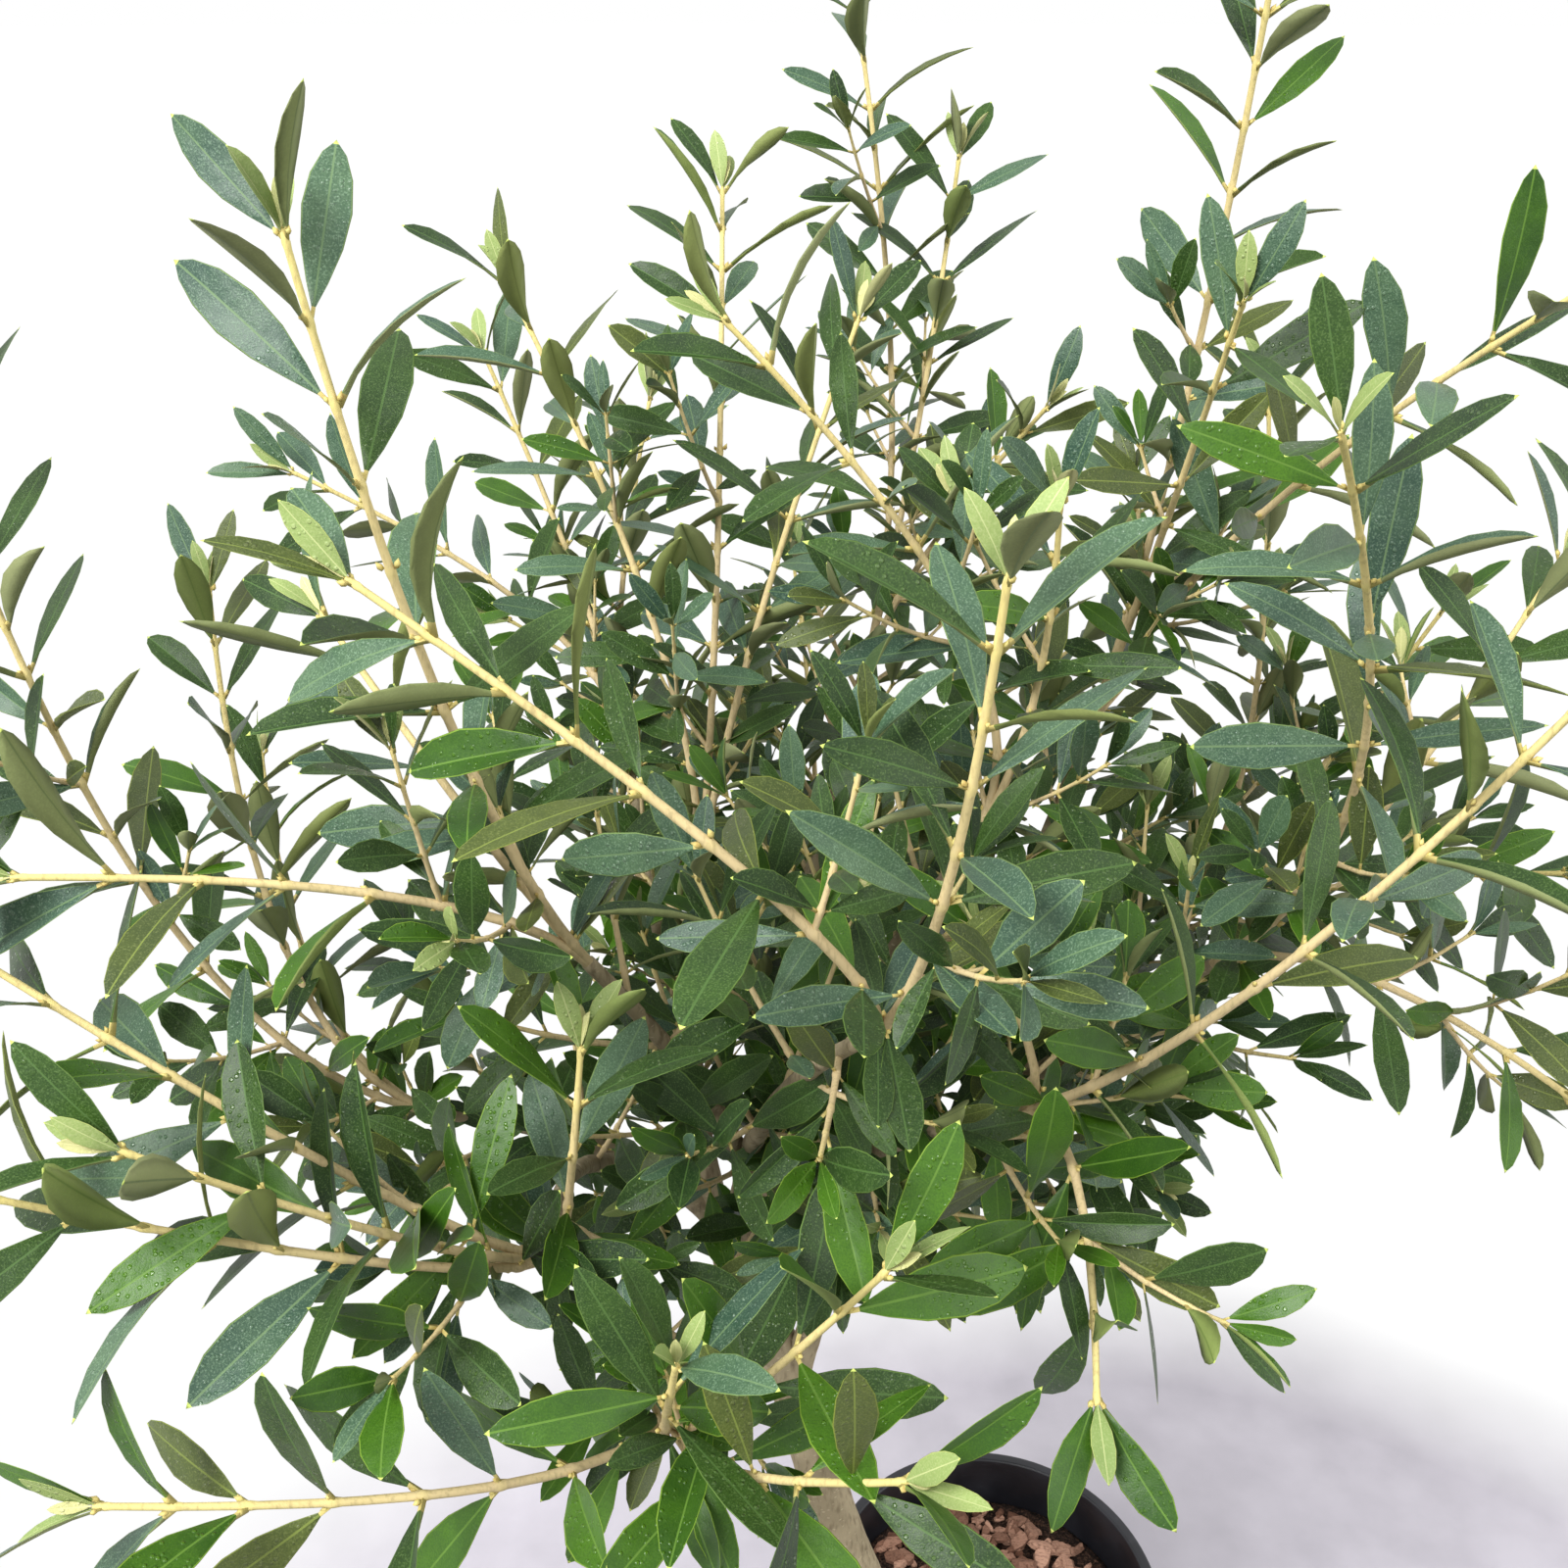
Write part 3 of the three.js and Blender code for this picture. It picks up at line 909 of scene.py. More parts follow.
@dataclass
class Scatter:
    """Some templates, and the geometry tree that sets one of them on each of many spots."""

    name: str
    templates: list[Object]
    parts: list[str]

    def __post_init__(self) -> None:
        """Builds the tree: a template for each point, a tone for each, and a material for each part."""
        kinds = {f"Template {index}": ("NodeSocketObject", None) for index in range(len(self.templates))}
        kinds |= {"Size": ("NodeSocketFloat", 1.0), "Tone Seed": ("NodeSocketInt", 1)}
        kinds |= {part: ("NodeSocketMaterial", None) for part in self.parts}
        tree = Growth(self.name, kinds)
        joined = tree.add("GeometryNodeJoinGeometry")
        for index in range(len(self.templates)):
            sockets = {"Object": tree.given(f"Template {index}"), "As Instance": True}
            info = tree.add("GeometryNodeObjectInfo", sockets, transform_space="ORIGINAL")
            tree.tree.links.new(info.outputs["Geometry"], joined.inputs[0])
        sockets = {"Vector": tree.carried("size", "FLOAT_VECTOR"), "Scale": tree.given("Size")}
        size = tree.add("ShaderNodeVectorMath", sockets, operation="SCALE")
        turn = tree.add("FunctionNodeEulerToRotation", {"Euler": tree.carried("turn", "FLOAT_VECTOR")})
        sockets = {
            "Points": tree.given("Geometry"),
            "Instance": joined,
            "Pick Instance": True,
            "Instance Index": tree.carried("shape", "INT"),
            "Rotation": turn,
            "Scale": size,
        }
        spread = tree.add("GeometryNodeInstanceOnPoints", sockets)
        sockets = {"Min_001": 0.0, "Max_001": 1.0, "Seed": tree.given("Tone Seed")}
        tone = tree.add("FunctionNodeRandomValue", sockets, data_type="FLOAT")
        sockets = {"Geometry": spread, "Name": "tone", "Value": tone.outputs[1]}
        toned = tree.add("GeometryNodeStoreNamedAttribute", sockets, data_type="FLOAT", domain="INSTANCE")
        geometry = tree.add("GeometryNodeRealizeInstances", {"Geometry": toned})
        for index, part in enumerate(self.parts):
            sockets = {"A_INT": tree.carried("part", "INT"), "B_INT": index}
            same = tree.add("FunctionNodeCompare", sockets, data_type="INT", operation="EQUAL")
            sockets = {"Geometry": geometry, "Selection": same, "Material": tree.given(part)}
            geometry = tree.add("GeometryNodeSetMaterial", sockets)
        self.tree = tree.close(geometry)

    def piece(self, name: str, spots: list[Spot], materials: dict, seed: int, slot: str, *nodes: str) -> None:
        """Sets the templates on some spots, as one piece.

        Args:
            name: The piece's name.
            spots: The spots.
            materials: A material for each part.
            seed: The seed of the templates' tones.
            slot: The piece's slot.
            nodes: The nodes that it stands for.
        """
        made = mesh_object(name, [spot.place for spot in spots], [])
        store(made, "turn", "FLOAT_VECTOR", [spot.turn for spot in spots])
        store(made, "size", "FLOAT_VECTOR", np.array([spot.size for spot in spots]) * MM)
        store(made, "shape", "INT", [spot.shape for spot in spots])
        inputs = {f"Template {index}": each for index, each in enumerate(self.templates)}
        settle(grown(made, self.tree, inputs | materials | {"Tone Seed": seed}), slot, *nodes)

    def clear(self) -> None:
        """Removes the templates, which are no pieces of their own."""
        for each in self.templates:
            bpy.data.objects.remove(each)


# Pot and soil


@dataclass
class ChipTemplate:
    """One bark chip: an angular slab a unit long, with rough ends."""

    index: int
    first_seed: int = 700
    corners: int = 7
    reach: Limits = (0.36, 0.52)
    narrow: Limits = (0.45, 0.75)
    thickness: Limits = (0.07, 0.13)
    top_share: float = 0.86
    crown: float = 1.4

    def build(self) -> Object:
        """Builds the chip.

        Returns:
            The template.
        """
        rule, outline = Rule(self.first_seed + self.index), []
        for step in range(self.corners):
            turn = ROUND * (step + rule.about(0.5)) / self.corners
            reach = rule.between(*self.reach)
            outline.append((reach * math.cos(turn), reach * math.sin(turn) * rule.between(*self.narrow)))
        thick = rule.between(*self.thickness)
        points = [(x, y, -thick + rule.about(0.05)) for x, y in outline]
        points += [(x * self.top_share, y * self.top_share, thick + rule.about(0.1)) for x, y in outline]
        points.append((rule.about(0.2), rule.about(0.1), thick * self.crown))
        faces = [tuple(reversed(range(self.corners))), *bridged(1, self.corners)]
        faces += fanned(self.corners, self.corners, len(points) - 1)
        return template(f"chip_template_{self.index}", points, faces, [0] * len(faces), soft=False)


@dataclass
class Pot:
    """The moulded 24 cm nursery pot with a rolled rim, filled with soil under bark chips."""

    height: float = 225
    base_radius: float = 90
    shoulder_radius: float = 113
    rim_radius: float = 120
    rim_band: float = 20
    rim_roll: float = 2.2
    rim_top: float = 4
    foot_roll: float = 3
    wall: float = 2.6
    floor: float = 3
    segments: int = 128
    roll_steps: int = 6
    sharp_angle: float = 40
    soil_top: float = 186
    soil_gap: float = 0.5
    soil_dip: float = 2.5
    soil_bump: float = 2.4
    soil_wave: float = 22
    soil_rings: int = 22
    soil_sides: int = 72
    chips: int = 460
    chip_kinds: int = 5
    chip_seed: int = 77
    chip_edge: float = 9
    chip_size: Limits = (9, 25)
    chip_lift: Limits = (-1, 5)
    chip_tilt: float = 1.1
    foot_clear: float = 1.25

    def inner_radius(self, level: float) -> float:
        """Returns the radius of the inner wall at a level."""
        return lerp(self.base_radius, self.shoulder_radius, level / (self.height - self.rim_band)) - self.wall

    def rounded(self, corner: Limits, radius: float, start: float, end: float) -> list[Limits]:
        """Returns an edge rounded about a corner, from one angle in degrees to another."""
        turns = np.radians(np.linspace(start, end, self.roll_steps + 1))
        return [(corner[0] + radius * math.cos(turn), corner[1] + radius * math.sin(turn)) for turn in turns]

    def profile(self) -> list[Limits]:
        """Lays out the wall from the middle of the underside round to the middle of the floor.

        Returns:
            Its outline, as radius and level.
        """
        roll, foot, shoulder = self.rim_roll, self.foot_roll, self.height - self.rim_band
        outer, upper = self.rim_radius - roll, self.height - roll
        return [
            (self.base_radius * 0.5, 0),
            *self.rounded((self.base_radius - foot, foot), foot, -90, -12),
            (lerp(self.base_radius, self.shoulder_radius, 0.5), shoulder * 0.5),
            (self.shoulder_radius - 0.3, shoulder - roll - 3),
            (self.shoulder_radius, shoulder - roll),
            *self.rounded((outer, shoulder + roll), roll, -80, 0),
            *self.rounded((outer, upper), roll, 0, 90),
            *self.rounded((outer - self.rim_top, upper), roll, 90, 170),
            (self.inner_radius(shoulder), upper - self.rim_top - 2),
            (self.inner_radius(shoulder), shoulder),
            (self.inner_radius(self.height * 0.5), self.height * 0.5),
            (self.inner_radius(self.floor), self.floor),
            (self.base_radius * 0.5, self.floor),
        ]

    def shell(self) -> None:
        """Builds the pot's wall, rim and floor."""
        profile, count = self.profile(), self.segments
        bands = len(profile) - 1
        points = [(radius * x, radius * y, level) for radius, level in profile for x, y in circle(count)]
        under = len(points)
        points += [(0, 0, 0), (0, 0, self.floor)]
        faces = bridged(bands, count) + fanned(0, count, under, inward=True)
        faces += fanned(bands * count, count, under + 1)
        made = soft_piece("pot_shell", points, faces, PotPlastic().material)
        made.data.set_sharp_from_angle(angle=math.radians(self.sharp_angle))
        settle(made, "pot", "pot")

    def soil(self) -> None:
        """Builds the bed of soil: an uneven top over a closed plug."""
        rings, count = self.soil_rings, self.soil_sides
        edge = self.inner_radius(self.soil_top) - self.soil_gap
        points = [(0, 0, self.soil_top - 2)]
        for ring in range(1, rings + 1):
            radius = edge * ring / rings
            for x, y in ((radius * across, radius * along) for across, along in circle(count)):
                bump = noise.fractal(Vector((x / self.soil_wave, y / self.soil_wave, 3.1)), 1.0, 2.0, 4)
                points.append((x, y, self.soil_top - self.soil_dip + self.soil_bump * bump))
        foot = self.floor + 1
        radius = self.inner_radius(foot)
        points += [(radius * x * 0.99, radius * y * 0.99, foot) for x, y in circle(count)]
        faces = fanned(1, count, 0) + bridged(rings, count, start=1, inward=True)
        faces.append(tuple(reversed(range(1 + rings * count, 1 + (rings + 1) * count))))
        settle(soft_piece("soil_bed", points, faces, PottingSoil().material), "soil", "soil")

    def bark_chips(self) -> None:
        """Builds the bark chips that lie on the soil, clear of the trunk's foot."""
        rule, spots = Rule(self.chip_seed), []
        foot = np.array(Skeleton.FOOT[:2])
        edge = self.inner_radius(self.soil_top) - self.chip_edge
        while len(spots) < self.chips:
            turn, reach = rule.between(0, ROUND), edge * math.sqrt(rule.next())
            spot = np.array([reach * math.cos(turn), reach * math.sin(turn)])
            if np.linalg.norm(spot - foot) < Skeleton.FOOT_RADIUS * self.foot_clear:
                continue
            size = rule.between(*self.chip_size)
            place = (*spot, self.soil_top + rule.between(*self.chip_lift))
            turns = (rule.about(self.chip_tilt), rule.about(self.chip_tilt), rule.between(0, ROUND))
            sizes = (size, size * rule.between(0.7, 1.1), size * rule.between(0.7, 1.2))
            spots.append(Spot(place, turns, sizes, int(rule.next() * self.chip_kinds) % self.chip_kinds))
        kinds = [ChipTemplate(index).build() for index in range(self.chip_kinds)]
        scatter = Scatter("chip_scatter", kinds, ["Chip"])
        scatter.piece("bark_chips", spots, {"Chip": BarkChip().material}, 7, "soil", "soil")
        scatter.clear()

    def build(self) -> None:
        """Builds the pot and what fills it."""
        self.shell()
        self.soil()
        self.bark_chips()


# Skeleton


@dataclass(frozen=True)
class Bough:
    """One bough, with the mass of shoots that it ends in: heading, rise and length for each shoot."""

    name: str
    parent: str
    at: float
    aim: Limits
    length: float
    radii: Limits
    seed: int
    shoots: tuple[Place, ...]
    fullness: float = 1.0


BOUGHS = [
    Bough("centre", "trunk", 1, (129, 84), 250, (9.5, 6), 11,
          ((140, 69, 330), (84, 68, 370), (31, 72, 310)), 0.55),
    Bough("front", "trunk", 0.9, (-79, 57), 445, (8.5, 5), 12, ((-170, 49, 245), (-70, 68, 220)), 0.5),
    Bough("right", "trunk", 0.72, (-22, 60), 420, (9, 5.2), 13,
          ((-102, 60, 345), (-36, -6, 210), (18, 50, 245))),
    Bough("back", "trunk", 0.82, (73, 64), 410, (8.6, 5.2), 14,
          ((99, 77, 415), (52, 74, 300), (-20, 60, 200)), 0.7),
    Bough("left", "centre", 0.15, (-163, 38), 185, (7, 5), 15,
          ((-163, 67, 446), (149, 65, 300), (131, 37, 240)), 0.6),
    Bough("back_left", "centre", 0.28, (110, 55), 265, (6, 4.6), 16,
          ((138, 64, 240), (171, 40, 245), (84, 56, 215)), 1.2),
    Bough("right_back", "right", 0.35, (24, 67), 320, (6.2, 4.6), 17,
          ((-44, 82, 415), (-48, 51, 355), (-77, 66, 270)), 0.75),
    Bough("middle", "front", 0.35, (-7, 64), 250, (5.2, 4.2), 18, ((-174, 66, 265), (-61, 75, 185))),
    Bough("right_front", "front", 0.2, (-53, 48), 300, (5.8, 4.3), 19,
          ((-28, 54, 320), (-177, 77, 90), (-84, -12, 130)), 0.6),
    Bough("front_left", "front", 0.45, (-120, 59), 225, (5.2, 4.2), 20,
          ((-153, 74, 298), (-157, 24, 215), (160, 52, 175)), 0.7),
    Bough("front_low", "front", 0.12, (-96, 33), 280, (5.8, 4.3), 21,
          ((-147, 21, 225), (-58, 36, 190), (-84, 52, 155), (-46, 53, 185)), 0.2),
    Bough("left_low", "left", 0.35, (-95, 34), 245, (5.4, 4.2), 22,
          ((-167, 42, 275), (-140, 40, 205), (-145, 32, 230), (-47, 77, 115)), 0.2),
    Bough("back_low", "back", 0.35, (81, 27), 175, (5.6, 4.3), 23,
          ((94, 47, 240), (155, 35, 270), (21, 35, 310))),
    Bough("right_low", "right", 0.3, (28, 36), 260, (5.8, 4.3), 24,
          ((5, 57, 255), (62, 70, 340), (-39, 33, 245)), 0.8),
]
FOLIAGE_NODES = [f"foliage_{bough.name}" for bough in BOUGHS]
BOUGH_NODES = [f"bough_{bough.name}" for bough in BOUGHS]


@dataclass
class Skeleton:
    """The trunk, the boughs and the shoots that they run out into."""

    FOOT = (-55.0, -20.0, 187.0)
    FOOT_RADIUS = 22.5

    fork_radius: float = 12.5
    flare: float = 0.36
    flare_height: float = 0.07
    buttress: float = 0.1
    buttresses: int = 4
    bough_turn: float = 0.5
    bough_lead: float = 0.45
    enters: float = 0.55
    stem_fit: float = 0.94
    stem_tip: float = 3.0
    shoot_sunk: float = 6
    shoot_lead: float = 0.35
    limbs: dict[str, Path] = field(default_factory=dict)
    shoots: dict[str, list[Path]] = field(default_factory=dict)

    def __post_init__(self) -> None:
        """Lays out every limb and shoot from its named sizes."""
        self.limbs["trunk"] = Path(self.FOOT, (-125, -55, 300), (-125, -45, 480), (-178, -41, 572))
        for bough in BOUGHS:
            parent = self.limbs[bough.parent]
            start, tangent = parent.raw(bough.at), parent.raw_tangent(bough.at)
            path = limb_path(start, tangent, bough.aim, bough.length, self.bough_turn, self.bough_lead)
            self.limbs[bough.name] = path
            along = path.tangent(1)
            start = path.point(1) - along * self.shoot_sunk
            self.shoots[bough.name] = [
                limb_path(start, along, shoot[:2], shoot[2], 0, self.shoot_lead) for shoot in bough.shoots
            ]

    def trunk_radius(self, share: float, angle: float) -> float:
        """Gives the trunk its flare at the foot, with buttresses.

        Args:
            share: The share of its length.
            angle: The angle round it.

        Returns:
            The radius there.
        """
        near_foot = math.exp(-share / self.flare_height)
        lobes = 1 + self.buttress * near_foot * math.cos(self.buttresses * angle)
        taper = lerp(self.FOOT_RADIUS, self.fork_radius, math.sqrt(share))
        return taper * (1 + self.flare * near_foot) * lobes

    def bough_radius(self, bough: Bough, share: float) -> float:
        """Gives a bough its taper, on through the stem inside its mass.

        Args:
            bough: The bough.
            share: The share of its whole length.

        Returns:
            The radius there.
        """
        base, tip = bough.radii
        if share < self.enters:
            return lerp(base, tip, share / self.enters)
        beyond = (share - self.enters) / (1 - self.enters)
        return lerp(tip * lerp(1, self.stem_fit, min(1, beyond * 8)), self.stem_tip, beyond)


@dataclass
class Wood:
    """Trunk and boughs with the relief of their bark."""

    skeleton: Skeleton
    bark: Material
    grain: float = 7.0
    grain_length: float = 26.0
    fine_grain: float = 3.2
    foot_sunk: float = 7.0
    foot_fade: float = 45.0
    collar: float = 0.22
    collar_length: float = 1.5
    parent_radius: float = 7.0
    ring_spacing: float = 3.2
    trunk_grid: tuple[int, int] = (56, 190)
    bare_sides: int = 20
    stem_sides: int = 14

    def limb(self, path: Path, radius: Callable[[float, float], float], span: Limits, grid: tuple[int, int],
             relief: float, level: bool = False) -> tuple[list, list]:
        """Returns the points and faces of one limb, closed at both ends.

        Args:
            path: The limb's path.
            radius: Its radius at a share of its length and an angle.
            span: The shares of the length where it starts and ends.
            grid: How many sides and rings it has.
            relief: How far the bark rises and falls, in millimetres.
            level: Whether its foot ends level, a little way down in the soil.

        Returns:
            Points and faces.
        """
        sides, rings = grid
        points = []
        normal = side_of(path.tangent(span[0]))
        for ring in range(rings + 1):
            share = lerp(*span, ring / rings)
            tangent, centre = path.tangent(share), path.point(share)
            normal = unit(normal - tangent * float(normal @ tangent))
            across = np.cross(tangent, normal)
            run = share * path.length
            ease = max(0.0, 1 - run / self.foot_fade) if level else 0.0
            for side in range(sides):
                angle = ROUND * side / sides
                outward = across * math.cos(angle) + normal * math.sin(angle)
                core = radius(share, angle)
                x, y, z = outward * core / self.grain
                long = noise.fractal(Vector((x, y, z + run / self.grain_length)), 1.0, 2.1, 3)
                x, y, z = x * self.fine_grain, y * self.fine_grain, z * self.fine_grain
                fine = noise.noise(Vector((x, y, z + run / self.grain)))
                point = centre + outward * (core + relief * (0.8 * long + 0.3 * fine))
                point[2] -= ease * (point[2] - centre[2] + self.foot_sunk)
                points.append(point)
        faces = bridged(rings, sides)
        for start, end, dome in ((0, span[0], 0.0), (rings * sides, span[1], radius(span[1], 0) * 0.5)):
            points.append(path.point(end) + path.tangent(end) * dome)
            faces += fanned(start, sides, len(points) - 1, inward=start == 0)
        return points, faces

    def piece(self, name: str, limbs: list[tuple[list, list]], *nodes: str) -> None:
        """Joins limbs into one piece and dresses it in bark.

        Args:
            name: The piece's name.
            limbs: Each limb's points and faces.
            nodes: The nodes that it stands for.
        """
        points, faces = [], []
        for own_points, own_faces in limbs:
            start = len(points)
            points += own_points
            faces += [tuple(start + index for index in face) for face in own_faces]
        settle(soft_piece(name, points, faces, self.bark), "bark", *nodes)

    def collared(self, bough: Bough) -> Callable[[float, float], float]:
        """Gives a bough a collar where it leaves its parent.

        Args:
            bough: The bough.

        Returns:
            The rule for its radius.
        """
        length = self.skeleton.limbs[bough.name].length
        parent = self.skeleton.fork_radius if bough.parent == "trunk" else self.parent_radius

        def radius(share: float, angle: float) -> float:
            """Returns the radius at a share of the length, the same at every angle."""
            near = math.exp(-((share * length / (self.collar_length * parent)) ** 2))
            return self.skeleton.bough_radius(bough, share) * (1 + self.collar * near)

        return radius

    def build(self) -> None:
        """Builds the trunk, the bare boughs and the stems inside the masses of foliage."""
        skeleton = self.skeleton
        trunk = self.limb(
            skeleton.limbs["trunk"], skeleton.trunk_radius, (0, 1), self.trunk_grid, relief=0.8, level=True
        )
        self.piece("trunk_bark", [trunk], "trunk")
        bare, stems = [], []
        for bough in BOUGHS:
            path, radius = skeleton.limbs[bough.name], self.collared(bough)
            entry = float(np.interp(skeleton.enters, path.marks, path.reach)) / path.length
            rings = int(path.length / self.ring_spacing)
            grid = (self.bare_sides, int(rings * entry))
            bare.append(self.limb(path, radius, (0, entry), grid, relief=0.45))
            grid = (self.stem_sides, int(rings * (1 - entry)))
            stems.append(self.limb(path, radius, (entry, 1), grid, relief=0.3))
        self.piece("boughs_bark", bare, *BOUGH_NODES)
        self.piece("stems_bark", stems, *FOLIAGE_NODES)


# Foliage


@dataclass(frozen=True)
class Habit:
    """How one kind of twig grows and sets its leaves, in millimetres and degrees."""

    first: float
    last: float
    spacing: Limits
    leaf: float
    foot_share: float
    width: Limits
    spread: Limits
    missing: float
    radii: Limits
    age: Limits
    sprigs: float = 0.0
    sprigs_until: float = 0.0


SHOOT = Habit(
    first=20, last=3, spacing=(29, 21), leaf=60, foot_share=0.62, width=(0.215, 0.28), spread=(76, 44),
    missing=0.05, radii=(2.2, 1.15), age=(0.2, 1.0), sprigs=0.34, sprigs_until=0.64,
)
SPRIG = Habit(
    first=9, last=3, spacing=(16, 13), leaf=43, foot_share=0.66, width=(0.24, 0.36), spread=(68, 44),
    missing=0.04, radii=(1.25, 0.75), age=(0.35, 0.8),
)
SIDE_SHOOT = Habit(
    first=14, last=3, spacing=(21, 16), leaf=51, foot_share=0.66, width=(0.225, 0.3), spread=(70, 44),
    missing=0.04, radii=(1.6, 0.85), age=(0.25, 0.85), sprigs=0.1, sprigs_until=0.5,
)


@dataclass(frozen=True)
class Pair:
    """A pair of leaves that closes a twig's tip. Where it has no tone, one is drawn."""

    tone: Tone | None
    lengths: Limits
    spread: float
    inset: float = 2.5
    quarter: float = 0.0


PALE_TIP = (Pair(Tone.YOUNG, (24, 33), 20), Pair(Tone.CREAM, (12, 19), 9, 0.6, QUARTER))
GREEN_TIP = (Pair(None, (22, 34), 26),)


@dataclass(frozen=True)
class Bend:
    """How far a blade arches, folds and twists, and how often leaves do so."""

    arch: float
    fold: float
    twist: float
    often: float


BENDS = {
    Shape.STRAIGHT: Bend(arch=-0.05, fold=0.05, twist=0.12, often=3),
    Shape.ARCHED: Bend(arch=-0.26, fold=0.09, twist=0.12, often=2.5),
    Shape.FOLDED: Bend(arch=-0.1, fold=0.24, twist=0.12, often=2),
    Shape.TWISTED: Bend(arch=-0.14, fold=0.07, twist=0.75, often=1.5),
}


@dataclass
class Room:
    """The room that leaves and twigs have taken, kept by small cells."""

    cell: float = 6.0
    taken: dict[tuple, list[tuple[Point, int]]] = field(default_factory=dict)

    def key(self, point: Point) -> tuple[int, int, int]:
        """Returns the cell of a point."""
        return tuple(int(value // self.cell) for value in point)

    def free(self, points: Iterable[Point], gap: float, owner: int = -1) -> bool:
        """Tells whether every point is clear of what others have taken.

        Args:
            points: The points.
            gap: How far apart they have to be.
            owner: Whose own points don't count.

        Returns:
            Whether all are clear.
        """
        near = (-1, 0, 1)
        for point in points:
            x, y, z = self.key(point)
            for cell in ((x + i, y + j, z + k) for i in near for j in near for k in near):
                for other, holder in self.taken.get(cell, ()):
                    if holder == owner:
                        continue
                    away = other - point
                    if away[0] ** 2 + away[1] ** 2 + away[2] ** 2 < gap * gap:
                        return False
        return True

    def take(self, points: Iterable[Point], owner: int = -2) -> None:
        """Takes the room of some points for an owner."""
        for point in points:
            self.taken.setdefault(self.key(point), []).append((point, owner))


@dataclass
class Twig:
    """One twig under way: its bough, its path, how it grows, its source of chance and its own number."""

    bough: Bough
    path: Path
    habit: Habit
    rule: Rule
    number: int


@dataclass
class Tube:
    """One twig's path as points, with a radius and an age at each."""

    points: list[Point]
    radii: list[float]
    ages: list[float]


